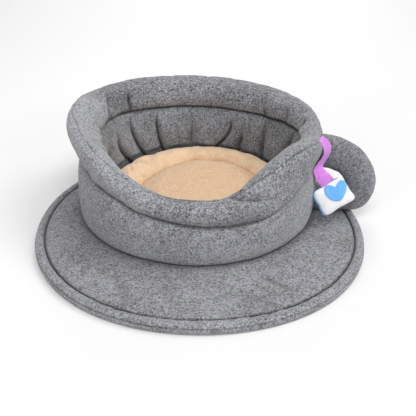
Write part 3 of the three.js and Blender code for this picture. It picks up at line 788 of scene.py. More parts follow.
def new_look(name: str) -> tuple[bpy.types.Material, Wiring, bpy.types.Node]:
    """A new material.

    Args:
        name: Its name.

    Returns:
        The material, its wiring and its shader.
    """
    look = bpy.data.materials.new(name)
    look.use_nodes = True
    return look, Wiring(look.node_tree), look.node_tree.nodes["Principled BSDF"]


def cloth_look(
    name: str, group: bpy.types.NodeTree, values: dict, relief: dict, shine: dict
) -> bpy.types.Material:
    """A cloth's material, a shader fed by the cloth's group.

    Args:
        name: Its name.
        group: The felt or plush group.
        values: The group's values by input.
        relief: The Bump node's strength and its distance in metres.
        shine: The shader's own values by input.

    Returns:
        The material.
    """
    look, wire, shader = new_look(name)
    cloth = wire.add("Group", {"node_tree": group}, **values).outputs
    bump = wire.add("Bump", None, Height=cloth["Height"], **relief).outputs[0]
    fed = {"Base Color": cloth["Color"], "Roughness": cloth["Roughness"], "Normal": bump}
    for socket, value in {**fed, **shine}.items():
        wire.feed(shader.inputs[socket], value)
    return look


@dataclass(frozen=True)
class FeltFinish:
    """Felted cloth of one melange."""

    name: str
    dark: Colour
    light: Colour
    contrast: float
    clump_scale: float = 330.0
    fibre_scale: float = 760.0
    bump: float = 0.5
    fold_shade: float = 0.9
    sheen: float = 0.22

    def material(self, group: bpy.types.NodeTree) -> bpy.types.Material:
        """Build the material.

        Args:
            group: The felt node group.

        Returns:
            The material.
        """
        values = {"Dark": solid(self.dark), "Light": solid(self.light), "Contrast": self.contrast}
        values |= {"Clump Scale": self.clump_scale, "Fibre Scale": self.fibre_scale}
        values["Fold Shade"] = self.fold_shade
        shine = {"Specular IOR Level": 0.15, "Sheen Weight": self.sheen, "Sheen Roughness": 0.6}
        return cloth_look(self.name, group, values, {"Strength": self.bump, "Distance": 0.0012}, shine)


@dataclass(frozen=True)
class PlushFinish:
    """Short-pile plush of one colour."""

    name: str
    tip: Colour
    root: Colour
    bump: float = 0.45

    def material(self, group: bpy.types.NodeTree) -> bpy.types.Material:
        """Build the material.

        Args:
            group: The plush node group.

        Returns:
            The material.
        """
        values = {"Tip": solid(self.tip), "Root": solid(self.root)}
        shine = {"Specular IOR Level": 0.1, "Sheen Weight": 0.45, "Sheen Roughness": 0.5}
        shine["Sheen Tint"] = (1.0, 0.93, 0.85, 1)
        return cloth_look(self.name, group, values, {"Strength": self.bump, "Distance": 0.001}, shine)


class Finishes:
    """Every finish of the bed, built once."""

    def __init__(self) -> None:
        """Build the groups and the materials."""
        felt = felt_group()
        grey = FeltFinish("grey melange felt", (46, 47, 50), (169, 170, 175), 1.9)
        handle = FeltFinish("grey handle felt", (58, 59, 62), (161, 162, 168), 1.6)
        lining = FeltFinish("grey lining felt", (39, 41, 45), (159, 162, 169), 2.0, fold_shade=0.95)
        small = {"clump_scale": 300.0, "fibre_scale": 900.0, "bump": 0.3, "fold_shade": 0.3, "sheen": 0.3}
        heart = FeltFinish("light blue heart felt", (70, 146, 224), (128, 192, 250), 1.0, **small)
        back = FeltFinish("blue tag felt", (50, 128, 200), (96, 172, 236), 0.5, **small)
        ribbon = FeltFinish("purple ribbon felt", (168, 88, 180), (221, 145, 231), 1.0, **small)
        ribbon = replace(ribbon, fibre_scale=800.0)
        front = FeltFinish("white tag felt", (223, 223, 227), (249, 249, 252), 0.5, **small)
        front = replace(front, bump=0.25, fold_shade=0.2, sheen=0.2)
        self.felt, self.handle, self.lining = (look.material(felt) for look in (grey, handle, lining))
        self.purple, self.white = ribbon.material(felt), front.material(felt)
        self.blue, self.light_blue = back.material(felt), heart.material(felt)
        self.plush = PlushFinish("peach plush", (232, 201, 168), (190, 147, 106)).material(plush_group())


def declare(obj: bpy.types.Object, node: str) -> None:
    """Say what a piece is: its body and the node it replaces.

    Args:
        obj: The finished piece.
        node: The CAD node that it replaces.
    """
    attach(obj, ROOT)
    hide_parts(node)
    LOG.info("%s: %d faces", obj.name, len(obj.data.polygons))


def settle(obj: bpy.types.Object, node: str) -> None:
    """Declare a padded piece."""
    declare(obj, node)


@dataclass
class Saucer:
    """The quilted mat and the corded edge sewn round it."""

    base_radius: float = 273.0
    edge_width: float = 15.5
    thickness: float = 18.0
    mat_columns: int = 480
    edge_columns: int = 720
    # Where the cup's wall stands, from the cup's axis.
    wall_foot: float = 200.0
    # Radii between which the creases and waves of the mat's top fade out towards the groove.
    calm: tuple[float, float] = (243.0, 253.0)
    # How far in from the edge's outside its lower stitch line runs, and at what height.
    stitch: tuple[float, float] = (1.1, 10.8)
    # Both ends of each crease in the mat, its depth and its half width.
    crease_rows: Rows = (
        (92, -156, 136, -192, 3.4, 4.5), (84, -178, 112, -204, 2.2, 4.5), (60, -196, 106, -222, 2.0, 8),
        (-118, -160, -104, -224, 2.0, 8), (-226, -8, -206, 60, 1.8, 10), (216, -96, 242, -60, 1.4, 9),
        (-52, -178, -34, -236, 1.2, 12),
    )

    def carried(self, radius: Array, azimuth: Array) -> Array:
        """A radius of a section carried to the saucer's outline."""
        return radius * SAUCER_OUTLINE.at("radius", azimuth) / self.base_radius

    def foot(self, azimuth: Array) -> Array:
        """Points along the groove, which all puckers across it start from."""
        return polar(self.base_radius - self.edge_width, azimuth, 0.0)

    def drop(self, points: Array) -> Array:
        """Soft creases and slow waves of the mat's top.

        Args:
            points: Points of the mat's top.

        Returns:
            How far each point lies below the flat, in millimetres.
        """
        x, y = points[..., 0], points[..., 1]
        opened = smoothstep(3.0, 18.0, around(points, CUP_CENTRE)[0] - self.wall_foot)
        fade = 1.0 - smoothstep(*self.calm, np.hypot(x, y))
        waves = 0.7 + 0.7 * np.sin(x * 0.031 + 1.1) * np.sin(y * 0.027 + 0.4)
        return opened * fade * (waves + self.creased(points))

    def creased(self, points: Array) -> Array:
        """How deep points of the mat's top lie in its creases.

        Args:
            points: Points of the mat's top.

        Returns:
            The depths in millimetres.
        """
        x, y = points[..., 0], points[..., 1]
        depth = np.zeros(x.shape)
        for x0, y0, x1, y1, deep, half in self.crease_rows:
            along_x, along_y = x1 - x0, y1 - y0
            t = np.clip(((x - x0) * along_x + (y - y0) * along_y) / (along_x**2 + along_y**2), 0, 1)
            away = np.hypot(x - x0 - t * along_x, y - y0 - t * along_y)
            depth = depth + deep * bell(away, half) * np.sin(np.pi * (0.15 + 0.7 * t))
        return depth

    def build_mat(self, finish: bpy.types.Material) -> None:
        """Args:
            finish: Its material.
        """
        reach, top = self.base_radius - self.edge_width - GAP, self.thickness
        side = [(reach - 3, 0), (reach, 3), (reach, 9.5), (reach - 0.9, 13), (reach - 3.2, 15.8)]
        side += [(reach - 9, 17.4), (reach - 30, top), (reach - 68, top), (reach - 150, top)]
        section = section_of(
            ([(0, 0), (reach - 3, 0)], 7, 1.0),
            (side, 130, 1.0),
            ([(reach - 150, top), (0, top)], 12, 1.0),
        )
        radius, height = section_rows(section, top)
        azimuth = azimuths(self.mat_columns)
        grid = polar(self.carried(radius, azimuth), azimuth, height)
        from_axis, beside = around(grid, CUP_CENTRE)
        from_wall = from_axis - self.wall_foot
        upper = smoothstep(7.0, 14.0, height)
        pucker = 1.1 * clumps(self.foot(azimuth), 9.0, Noise.MAT) * bell(radius - reach, 16.0) * upper
        waves = 0.5 + layers(grid, (0.35, 34.0, Noise.MAT), (0.16, 11.0, Noise.MAT_FINE))
        drop = self.drop(grid) + smoothstep(-12.0, 4.0, from_wall) * waves
        grid[..., 2] = grid[..., 2] - upper * drop + pucker
        # Painted shade in the groove, in the creases and round the cup's foot, and a painted shadow on the
        # mat to the right of the cup.
        outside = np.clip(from_wall, 0.0, None)
        creased = 0.12 * self.creased(grid) * smoothstep(3.0, 12.0, from_wall)
        fold = np.clip(bell(radius - reach, 2.4) + 0.5 * np.exp(-outside / 8.0) + creased, 0.0, 1.0)
        nap = -0.55 * np.exp(-outside / 30.0) * bell(turn_between(68.0, beside), 30.0)
        obj = round_object("saucer_mat_cloth", grid, finish, fold, nap, poles=True)
        settle(obj, "saucer_mat")

    def build_edge(self, finish: bpy.types.Material) -> None:
        """Args:
            finish: Its material.
        """
        out, line, level = self.base_radius, self.base_radius - self.stitch[0], self.stitch[1]
        rows = [(out - 13, 0), (out - 3.5, 0), (out - 1.0, 1.8), (out - 0.1, 4.2), (out - 0.1, 6.9)]
        rows += [(out - 0.2, 9.2), (line, level), (line, 12.4), (out - 3.8, 15.8), (out - 8.2, 17.4)]
        rows += [(out - 12.4, 16.4), (out - 14.7, 13.2), (out - 15.4, 9.0), (out - 15.5, 2)]
        section = section_of((rows, 54, 1.0), (rows[-1:] + rows[:1], 4, 1.0), closed=True)
        radius, height = section_rows(section)
        azimuth = azimuths(self.edge_columns)
        grid = polar(self.carried(radius, azimuth), azimuth, height)
        from_line = np.hypot(radius - line, height - level)
        free = smoothstep(3.0, 8.0, height)
        foot = self.foot(azimuth)
        swell = 1.1 * clumps(foot, 8.0, Noise.EDGE) * bell(radius - (out - 14.5), 7.0) * free
        swell = swell + 0.35 * clumps(foot, 6.0, Noise.EDGE_LINE) * bell(from_line, 4.0)
        swell = swell + free * (0.7 * clumps(foot, 42.0, Noise.EDGE) + 0.25 * clumps(grid, 9.0, Noise.FINE))
        clear_of_mat = smoothstep(out - 15.5, out - 13.0, radius)
        grid = swollen(grid, clear_of_mat * swell)
        grid[..., 2] = np.clip(grid[..., 2], 0.0, None)
        # The fold mark paints shade in the groove by the mat and draws the lower stitch line in dashes; the
        # nap mark paints a highlight along the edge's top.
        dashes = 0.75 + 0.25 * np.sin(2.0 * np.pi * azimuth * 2.0 / 3.0)
        dashes = dashes * (0.6 + 0.6 * bell(turn_between(-50.0, azimuth), 50.0))
        fold = bell(np.hypot(radius - (out - 15.2), height - 11.0), 3.2) + dashes * bell(from_line, 1.0)
        nap = 0.12 * smoothstep(9.0, 14.0, height)
        obj = round_object("saucer_edge_cord", grid, finish, fold, nap)
        settle(obj, "saucer_edge")


@dataclass
class Cup:
    """The padded wall, the gathered lining and the stuffed roll along the rim."""

    wall_radius: float = 202.0
    wall_back: float = 170.9
    lining_back: float = 170.1
    lining_radius: float = 160.0
    # About how high the wall and the lining are, which a share of their height counts for.
    wall_rise: float = 100.0
    lining_rise: float = 120.0
    columns: int = 860
    roll_columns: int = 760
    # Height from which the pleats spread, and heights between which painted shade darkens the lining
    # where the cushion meets it.
    pleat_foot: float = 46.0
    cushion_line: tuple[float, float] = (57.3, 51.3)
    # What the two values of the roll's section count for when it is cut into steps.
    roll_size: tuple[float, float] = (22.0, 60.0)
    # Half width of the roll's section where it stands on its seams.
    roll_foot: float = 0.62
    # About how many millimetres a degree round the rim and the whole way round the roll come to, and the
    # radius at which the roll's puckers are spaced.
    rim_scale: tuple[float, float] = (3.2, 190.0)
    roll_way: float = 185.0
    pucker_radius: float = 185.0
    stitches_per_degree: float = 0.5
    # Azimuth at the cushion and at the top end, the top end's height, depth, how it bends in degrees,
    # how far the lip beside it stands in, on which side that lip lies, the height of its lower end, and how
    # soft it is.
    pleat_rows: Rows = (
        (-176.5, -177, 96, 4.0, 0.5, 1.0, 1, 0, 1.0), (-157.6, -152.9, 124, 8.5, 1.5, 5.0, -1, 0, 0.0),
        (-148.5, -144.5, 114, 3.5, 0, 1.5, -1, 88, 0.6), (-143.6, -132.2, 132, 7.0, 2.5, 4.5, -1, 0, 0.0),
        (-131.2, -119, 106, 5.5, 2.5, 3.5, -1, 0, 0.1), (-112, -106, 92, 4.5, 1, 3, -1, 0, 0.4),
        (-86, -83, 110, 6, 1, 4, 1, 0, 0.2), (-60, -64, 96, 6, -1, 4, -1, 0, 0.2),
        (-33, -30, 84, 5, 0, 3.5, 1, 0, 0.3), (-8, -6, 80, 5, 0, 3.5, -1, 0, 0.3),
        (17, 14, 82, 5, 0, 3.5, 1, 0, 0.3), (44, 40, 98, 6, -1, 4, -1, 0, 0.2),
        (73, 68, 112, 6, -1, 4, 1, 0, 0.2), (95, 90, 118, 6, -1, 3.5, 1, 0, 0.4),
        (119.5, 101, 138, 7.0, -1, 3.0, 1, 0, 0.9), (133.2, 129.5, 128, 6.5, 0, 3.0, 1, 0, 1.0),
        (143, 141.5, 120, 4.0, 0, 1.5, 1, 94, 0.7), (151.5, 148, 84, 6.0, 0, 2.5, 1, 0, 0.7),
        (170, 156.6, 108, 8.5, -4, 5.5, 1, 0, 0.15),
    )
    # Azimuth at the seam and at the upper end, share of the roll's height where it ends, depth, half width
    # in degrees, and how far the dent reaches on the right, less than 0 for the left, 0 for neither.
    crease_rows: Rows = (
        (-131.6, -134.2, 0.8, 9.0, 1.1, 9), (-102.5, -117.0, 0.85, 11.0, 1.5, -12),
        (-88, -86, 0.6, 3.0, 2.2, 0), (-62, -60, 0.8, 3.5, 2.2, 0), (-20, -22, 0.7, 2.5, 2.2, 0),
        (24, 22, 0.8, 3.5, 2.2, 0), (57, 58, 0.8, 3.5, 2.4, 0), (93.2, 95.5, 0.95, 7, 1.8, 6),
        (111, 113, 0.8, 3.0, 2.4, 0), (129.3, 132.0, 0.45, 7.5, 1.1, -7), (163, 161, 0.6, 2.0, 2.6, 0),
    )
    # How much lighter or darker the roll is round the rim: painted shade at the back left and on the
    # right, and lighter on the left.
    nap_and_light_course: Course = Course(
        "azimuth nap",
        (
            (-180, -0.15), (-150, -0.15), (-131, -0.5), (-114, -0.4), (-106, 0.2), (-95, 0.45), (-60, 0.42),
            (-35, 0.3), (-12, -0.12), (20, -0.2), (70, -0.1), (100, -0.2), (120, -0.35), (145, -0.2),
        ),
    )
    # Course of the crest's seam, as a share of the way round the roll from under it.
    crest_line: Course = Course(
        "azimuth share",
        (
            (-180, 0.45), (-120, 0.455), (-88, 0.47), (-74, 0.518), (-55, 0.502), (-40, 0.508), (-12, 0.52),
            (16, 0.53), (23, 0.50), (30, 0.47), (40, 0.448), (50, 0.432), (62, 0.41), (90, 0.405),
            (130, 0.43),
        ),
    )
    # The slanting fold where the low front turns up to the right, in the same shares.
    fold_rows: Rows = (
        (12.0, 0.575), (16.3, 0.55), (18.0, 0.47), (20.9, 0.40), (24.3, 0.35), (28.5, 0.29), (34.0, 0.245),
    )
    # The roll's section: places across it, less than 0 on the inside, and shares of its height.
    roll_rows: Rows = (
        (0, 0), (0.62, 0.0), (0.86, 0.06), (0.995, 0.27), (0.975, 0.56), (0.8, 0.8), (0.46, 0.955), (0.02, 1),
        (-0.44, 0.95), (-0.8, 0.79), (-0.99, 0.54), (-1, 0.27), (-0.88, 0.06), (-0.62, 0),
    )
    # Shares of the way round the section, each with how closely its points stand there.
    roll_crowd: Rows = (
        (0, 0.4), (0.08, 0.5), (0.12, 1.1), (0.36, 1.1), (0.4, 1.7), (0.55, 1.7), (0.6, 1.1), (0.88, 1.1),
        (0.93, 0.5), (1, 0.4),
    )

    def heights(self, radius: Array, azimuth: Array, share: Array) -> tuple[Array, Array]:
        """Heights in the wall or the lining.

        Args:
            radius: Distances from the cup's axis.
            azimuth: Degrees from the front.
            share: Shares of the way from the floor to the roll.

        Returns:
            The heights, and how far each lies below the roll.
        """
        rise = seam_height(radius, azimuth) - CUP_FLOOR
        return CUP_FLOOR + share * rise, (1.0 - share) * rise

    def reach(self, azimuth: Array, z: Array) -> Array:
        """Radius of the cup's outside at a height, wall below the seam and roll above it.

        Args:
            azimuth: Degrees from the front.
            z: Heights.

        Returns:
            The radii.
        """
        foot_middle, foot_half = (SEAM_INNER + SEAM_OUTER) / 2, 22.2
        outer = RIM.at("outer", azimuth)
        share = np.clip((z - CUP_FLOOR) / (outer - CUP_FLOOR), 0.0, 1.0)
        wall = self.wall_radius - 9.5 * smoothstep(0.55, 1.0, share) ** 1.5
        up = np.clip((z - outer) / (RIM.at("crest", azimuth) - outer), 0.0, 1.0)
        free = smoothstep(0.0, 0.4, up)
        leaned = RIM.at("middle", azimuth) + RIM.at("lean", azimuth) * (up - 0.5)
        ups, bulges = (0, 0.07, 0.3, 0.56, 0.8, 0.955, 1.0), (0.62, 0.85, 0.99, 0.97, 0.8, 0.46, 0.0)
        bulge = np.interp(up, ups, bulges)
        half = foot_half + free * (RIM.at("half", azimuth) - foot_half)
        roll = foot_middle + free * (leaned - foot_middle) + bulge * half
        return np.where(z < outer, wall, roll)

    def build_wall(self, finish: bpy.types.Material) -> None:
        """Args:
            finish: Its material.
        """
        out, back, rise = self.wall_radius, self.wall_back, self.wall_rise
        front = [(out - 13, 0), (out - 6.5, 0.024), (out - 2.2, 0.1), (out, 0.34), (out - 0.6, 0.64)]
        front += [(out - 3.0, 0.85), (out - 6.2, 0.958), (SEAM_OUTER, 0.993), (SEAM_OUTER - 5, 1)]
        section = section_of(
            (front, 76, rise),
            ([(SEAM_OUTER - 5, 1), (back + 4, 1), (back, 0.95), (back, 0.05)], 8, rise),
            ([(back, 0.05), (back + 3, 0), (out - 13, 0)], 5, rise),
            closed=True,
        )
        radius, share = section_rows(section, 1.0)
        azimuth = azimuths(self.columns)
        is_back = radius < (out + back) / 2
        drawn = RIM.at("tuck", azimuth) * share * smoothstep(back + 4, SEAM_OUTER, radius)
        drawn = drawn - MERGE * merged(azimuth) * smoothstep(0.75, 1.0, share)
        stand = radius + np.where(is_back, RIM.at("out", azimuth) * share, -drawn)
        z, below = self.heights(stand, azimuth, share)
        grid = polar(stand, azimuth, z)
        free = smoothstep(SEAM_OUTER - 1, SEAM_OUTER + 4, radius)
        foot = polar(SEAM_OUTER, azimuth, 0.0)
        shown = 1.0 - 0.9 * merged(azimuth)
        swell = 1.3 * clumps(foot, 13.0, Noise.WALL) * bell(below, 18.0) * shown
        swell = swell + 0.5 * clumps(foot, 21.0, Noise.WALL_FOOT) * bell(z - CUP_FLOOR, 16.0)
        uneven = ((1.25, 62.0, Noise.WALL), (0.35, 19.0, Noise.FINE), (0.14, 7.0, Noise.WALL_FINE))
        grid = swollen(grid, free * (swell + layers(grid, *uneven)))
        grid[..., 2] = np.clip(grid[..., 2], CUP_FLOOR, None)
        above_floor = z - CUP_FLOOR
        # Painted shade under the roll's seam and at the foot, and painted light on the wall towards its foot
        # and at the front right.
        fold = shown * bell(below, 3.2) + bell(above_floor, 2.2) + 0.3 * bell(above_floor, 7.0)
        fold = free * np.clip(fold, 0.0, 1.0)
        nap = 0.1 + 0.5 * smoothstep(50.0, 4.0, above_floor) + 0.25 * bell(turn_between(55.0, azimuth), 26.0)
        obj = round_object("cup_wall_cloth", grid + CUP_CENTRE, finish, fold, nap)
        settle(obj, "cup_wall")

    def pleats(self, azimuth: Array, z: Array) -> tuple[Array, Array, Array]:
        """Relief of the gathers.

        Args:
            azimuth: Degrees from the front.
            z: Heights.

        Returns:
            How far each point goes out into a valley, less than 0 on a lip, how far it is pushed sideways
            in degrees, and how dark painted shade makes it along the folds and between the puffs, 0 to 1.
        """
        relief = np.zeros(np.broadcast_shapes(azimuth.shape, z.shape))
        push, shade = np.zeros_like(relief), np.zeros_like(relief)
        far = 999.0
        ahead, behind = np.full_like(relief, far), np.full_like(relief, far)
        for low, high, top, depth, bend, lip, side, end, soft in self.pleat_rows:
            share = (z - self.pleat_foot) / (top - self.pleat_foot)
            path = low + turn_between(low, high) * np.clip(share, -0.4, 1.2)
            path = path + bend * 4.0 * np.clip(share, 0.0, 1.0) * (1.0 - np.clip(share, 0.0, 1.0))
            away = np.radians(turn_between(0.0, azimuth - path)) * self.lining_radius
            if end == 0:
                ahead = np.where(away >= 0, np.minimum(ahead, away), ahead)
                behind = np.where(away < 0, np.minimum(behind, -away), behind)
            away = side * away
            fade = smoothstep(1.15, 0.6, share) * smoothstep(end - 6.0, end + 10.0, z)
            under = np.exp(-((np.maximum(-away, 0.0) / (5.2 + 6.5 * soft)) ** 1.2)) * (away < 0)
            over = smoothstep(0.0, 3.4, away) * np.exp(-((np.maximum(away, 0.0) / 19.0) ** 2))
            core = np.exp(-np.maximum(away, 0.0) / (1.2 + 5.0 * soft)) * (away >= 0)
            relief = relief + fade * (depth * (under + core) - lip * over)
            dragged = 2.6 * (1.0 - soft) * np.exp(-np.maximum(away, 0.0) / 4.0) * smoothstep(-1.0, 3.0, away)
            push = push - side * fade * dragged
            dark = np.clip(depth / 7.0, 0, 1) * (1.0 - 0.62 * soft)
            shade = np.maximum(shade, fade * dark * bell(away + 0.4, 1.3 + 4.0 * soft))
        puff = np.sin(np.pi * ahead / (ahead + behind + 1e-6)) ** 0.7
        full = smoothstep(135.0, 75.0, z) * smoothstep(50.0, 61.0, z)
        relief = relief + (2.0 - 8.5 * puff) * full
        # Painted shade in the hollows between the puffs.
        shade = np.clip(shade + 0.2 * full * (1.0 - puff) ** 1.5, 0.0, 1.0)
        return relief, np.degrees(push / self.lining_radius), shade

    def build_lining(self, finish: bpy.types.Material) -> None:
        """Args:
            finish: Its material.
        """
        face, back, rise = self.lining_radius, self.lining_back, self.lining_rise
        front = [(SEAM_INNER, 1), (face + 1.6, 0.955), (face - 0.8, 0.86), (face - 1.6, 0.7)]
        front += [(face - 1.2, 0.54), (face + 0.2, 0.4), (face + 1.6, 0.28), (face + 3.2, 0.1), (face + 5, 0)]
        section = section_of(
            ([(back, 0), (back, 1)], 6, rise),
            ([(back, 1), (SEAM_INNER, 1)], 4, rise),
            (front, 84, rise),
            ([(face + 5, 0), (back, 0)], 3, rise),
            closed=True,
        )
        section[:, 0] = np.clip(section[:, 0], None, back)
        radius, share = section_rows(section, 1.0)
        azimuth = azimuths(self.columns)
        out = RIM.at("out", azimuth) * share
        z, below = self.heights(radius + out, azimuth, share)
        on_face = smoothstep(back - 0.5, back - 3.0, radius) * smoothstep(1.0, 0.93, share)
        relief, push, shade = self.pleats(azimuth, z)
        foot = polar(SEAM_INNER, azimuth, 0.0)
        uneven = ((1.5, 38.0, Noise.LINING), (0.5, 14.0, Noise.LINING_FINE))
        relief = relief + 0.8 * clumps(foot, 12.0, Noise.LINING) * bell(below, 14.0)
        relief = relief + layers(polar(radius + out, azimuth, z), *uneven)
        limit, sharp = back - 1.2, 1.2
        folded = limit - np.log1p(np.exp((limit - radius - on_face * relief) * sharp)) / sharp
        radius = radius + on_face * (folded - radius)
        grid = polar(radius + out, azimuth + on_face * push, z)
        # Painted shade where the cushion meets the lining, along the seam under the roll, wider at the back
        # right, and in the pleats; painted light on the left part and painted shade on the right.
        behind_cushion = 0.5 * smoothstep(*self.cushion_line, z)
        seam_width = 1.8 + 2.2 * bell(turn_between(112.0, azimuth), 20.0)
        fold = np.clip(shade + bell(below, seam_width) + behind_cushion, 0, 1)
        nap = 0.35 * bell(turn_between(-130.0, azimuth), 32.0)
        nap = nap - 0.55 * bell(turn_between(105.0, azimuth), 38.0)
        obj = round_object("cup_lining_cloth", grid + CUP_CENTRE, finish, fold, nap)
        settle(obj, "cup_lining")

    def creases(self, azimuth: Array, across: Array, up: Array) -> tuple[Array, Array]:
        """Creases on the roll's inside.

        Args:
            azimuth: Degrees from the front.
            across: Places across the roll, less than 0 on the inside.
            up: Shares of the roll's height.

        Returns:
            How deep each point lies in a crease, in millimetres, and how dark painted shade makes it there, 0
            to 1.
        """
        depth = np.zeros(np.broadcast_shapes(azimuth.shape, across.shape))
        dark = np.zeros_like(depth)
        for low, high, end, deep, half, reach in self.crease_rows:
            at = low + (high - low) * np.clip(up / end, 0.0, 1.0)
            fade = smoothstep(0.0, 0.5, end + 0.15 - up)
            away = turn_between(0.0, azimuth - at) * (1.0 if reach >= 0 else -1.0)
            short = np.exp(-((np.abs(away) / half) ** 1.4)) - 0.25 * bell(np.abs(away) / half - 2.6, 1.3)
            depth = depth + fade * deep * np.where((away < 0) | (reach == 0), short, 0.0)
            if reach != 0:
                depth = depth + fade * deep * np.exp(-np.abs(away) / abs(reach)) * (away >= 0)
            dark = np.maximum(dark, fade * deep / 8.0 * bell(away / half, 0.7))
        inside = smoothstep(0.3, 0.0, across)
        return depth * inside, np.clip(dark, 0.0, 1.0) * inside

    def front_fold(self, azimuth: Array, share: Array) -> tuple[Array, Array]:
        """The slanting fold on the roll's front.

        Args:
            azimuth: Degrees from the front.
            share: Shares of the way round the roll.

        Returns:
            How far each point lies in, in millimetres, and how dark painted shade makes it along the fold, 0
            to 1.
        """
        line = spline(self.fold_rows, 60, weight=self.rim_scale) * self.rim_scale
        x, y = azimuth * self.rim_scale[0], share * self.rim_scale[1]
        far, middle = 99.0, 28
        away = np.full(np.broadcast_shapes(x.shape, y.shape), far)
        for k, (at, where) in enumerate(line):
            taper = 8.0 * max(0.0, abs(k - middle) / middle - 0.55)
            away = np.minimum(away, np.hypot(x - at, y - where) + taper)
        return 3.4 * np.exp(-((away / 4.6) ** 1.3)) - 1.2 * bell(away - 12.0, 6.0), 0.6 * bell(away, 2.0)

    def roll_grid(self) -> tuple[Array, Array]:
        """The roll's points.

        Returns:
            The points about the cup's axis, and how dark painted shade makes them in its seams, folds and
            creases.
        """
        section = spline(self.roll_rows, 128, closed=True, weight=self.roll_size, crowd=self.roll_crowd)
        across, up = section_rows(section, 1.0)
        sized = np.concatenate([across, up]).T * self.roll_size
        step = np.linalg.norm(np.diff(np.vstack([sized, sized[:1]]), axis=0), axis=1)
        way = (np.cumsum(step) - step)[None, :] / np.sum(step)
        azimuth = azimuths(self.roll_columns)
        inner, outer = seam_radii(azimuth)
        seam_middle, seam_half = (outer + inner) / 2, (outer - inner) / 2 / self.roll_foot
        free = smoothstep(0.0, 0.4, up)
        dent, dark = self.creases(azimuth, across, up)
        fold_dent, fold_deep = self.front_fold(azimuth, way)
        leaned = RIM.at("middle", azimuth) + RIM.at("lean", azimuth) * (up - 0.5)
        middle = seam_middle + free * (leaned - seam_middle)
        half = seam_half + free * (RIM.at("half", azimuth) - dent - seam_half)
        radius = middle + across * half
        low = seam_height(radius, azimuth) + 0.5
        high = RIM.at("crest", azimuth) - 0.35 * dent
        above = up * (high - low)
        grid = polar(radius, azimuth, low + above)
        foot = polar(self.pucker_radius, azimuth, 0.0)
        from_line = (way - self.crest_line.at("share", azimuth)) * self.roll_way
        shown = np.where(across > 0, 1.0 - 0.9 * merged(azimuth), 1.0)
        left = bell(turn_between(-72.0, azimuth), 50.0)
        swell = (1.9 + 1.3 * left) * clumps(foot, 13.0, Noise.ROLL) * bell(above, 14.0) * shown
        uneven = ((1.5, 48.0, Noise.ROLL), (0.5, 17.0, Noise.ROLL_FINE), (0.16, 7.0, Noise.WALL))
        swell = swell + layers(grid, *uneven)
        off_line = np.abs(from_line)
        swell = swell - 1.2 * np.exp(-((off_line / 1.6) ** 1.5)) + 0.4 * bell(off_line - 5, 4)
        swell = swell + 2.2 * bell(turn_between(77.0, azimuth), 8.0) * bell(way - 0.29, 0.08)
        swell = swell + 1.0 * clumps(foot, 8.0, Noise.CREST) * bell(from_line, 8.0) - fold_dent
        grid = swollen(grid, smoothstep(0.0, 5.0, above) * swell)
        stitches = 0.5 + 0.5 * np.tanh(3.0 * np.sin(azimuth * self.stitches_per_degree * 2 * np.pi))
        wavering = from_line + 0.7 * clumps(foot, 9.0, Noise.CREST_LINE)
        seam = (0.25 + 0.65 * stitches) * bell(wavering, 1.15)
        under = np.where(across < 0, bell(above, 2.2), 0.0)
        # Painted shade in the seam over the wall, wider on the left, under the roll, in the creases and along
        # the slanting fold, and the crest's stitch line.
        fold = shown * bell(above, 2.8 + 1.8 * left) + under + 0.03 * dent + 0.9 * dark + fold_deep + seam
        return grid, np.clip(fold, 0.0, 1.0)

    def build_roll(self, finish: bpy.types.Material) -> None:
        """Args:
            finish: Its material.
        """
        grid, fold = self.roll_grid()
        # Painted shade at the back left and on the right of the roll, and lighter on the left.
        nap = self.nap_and_light_course.at("nap", around(grid)[1])
        obj = round_object("rim_roll_cloth", grid + CUP_CENTRE, finish, fold, nap)
        settle(obj, "rim_roll")


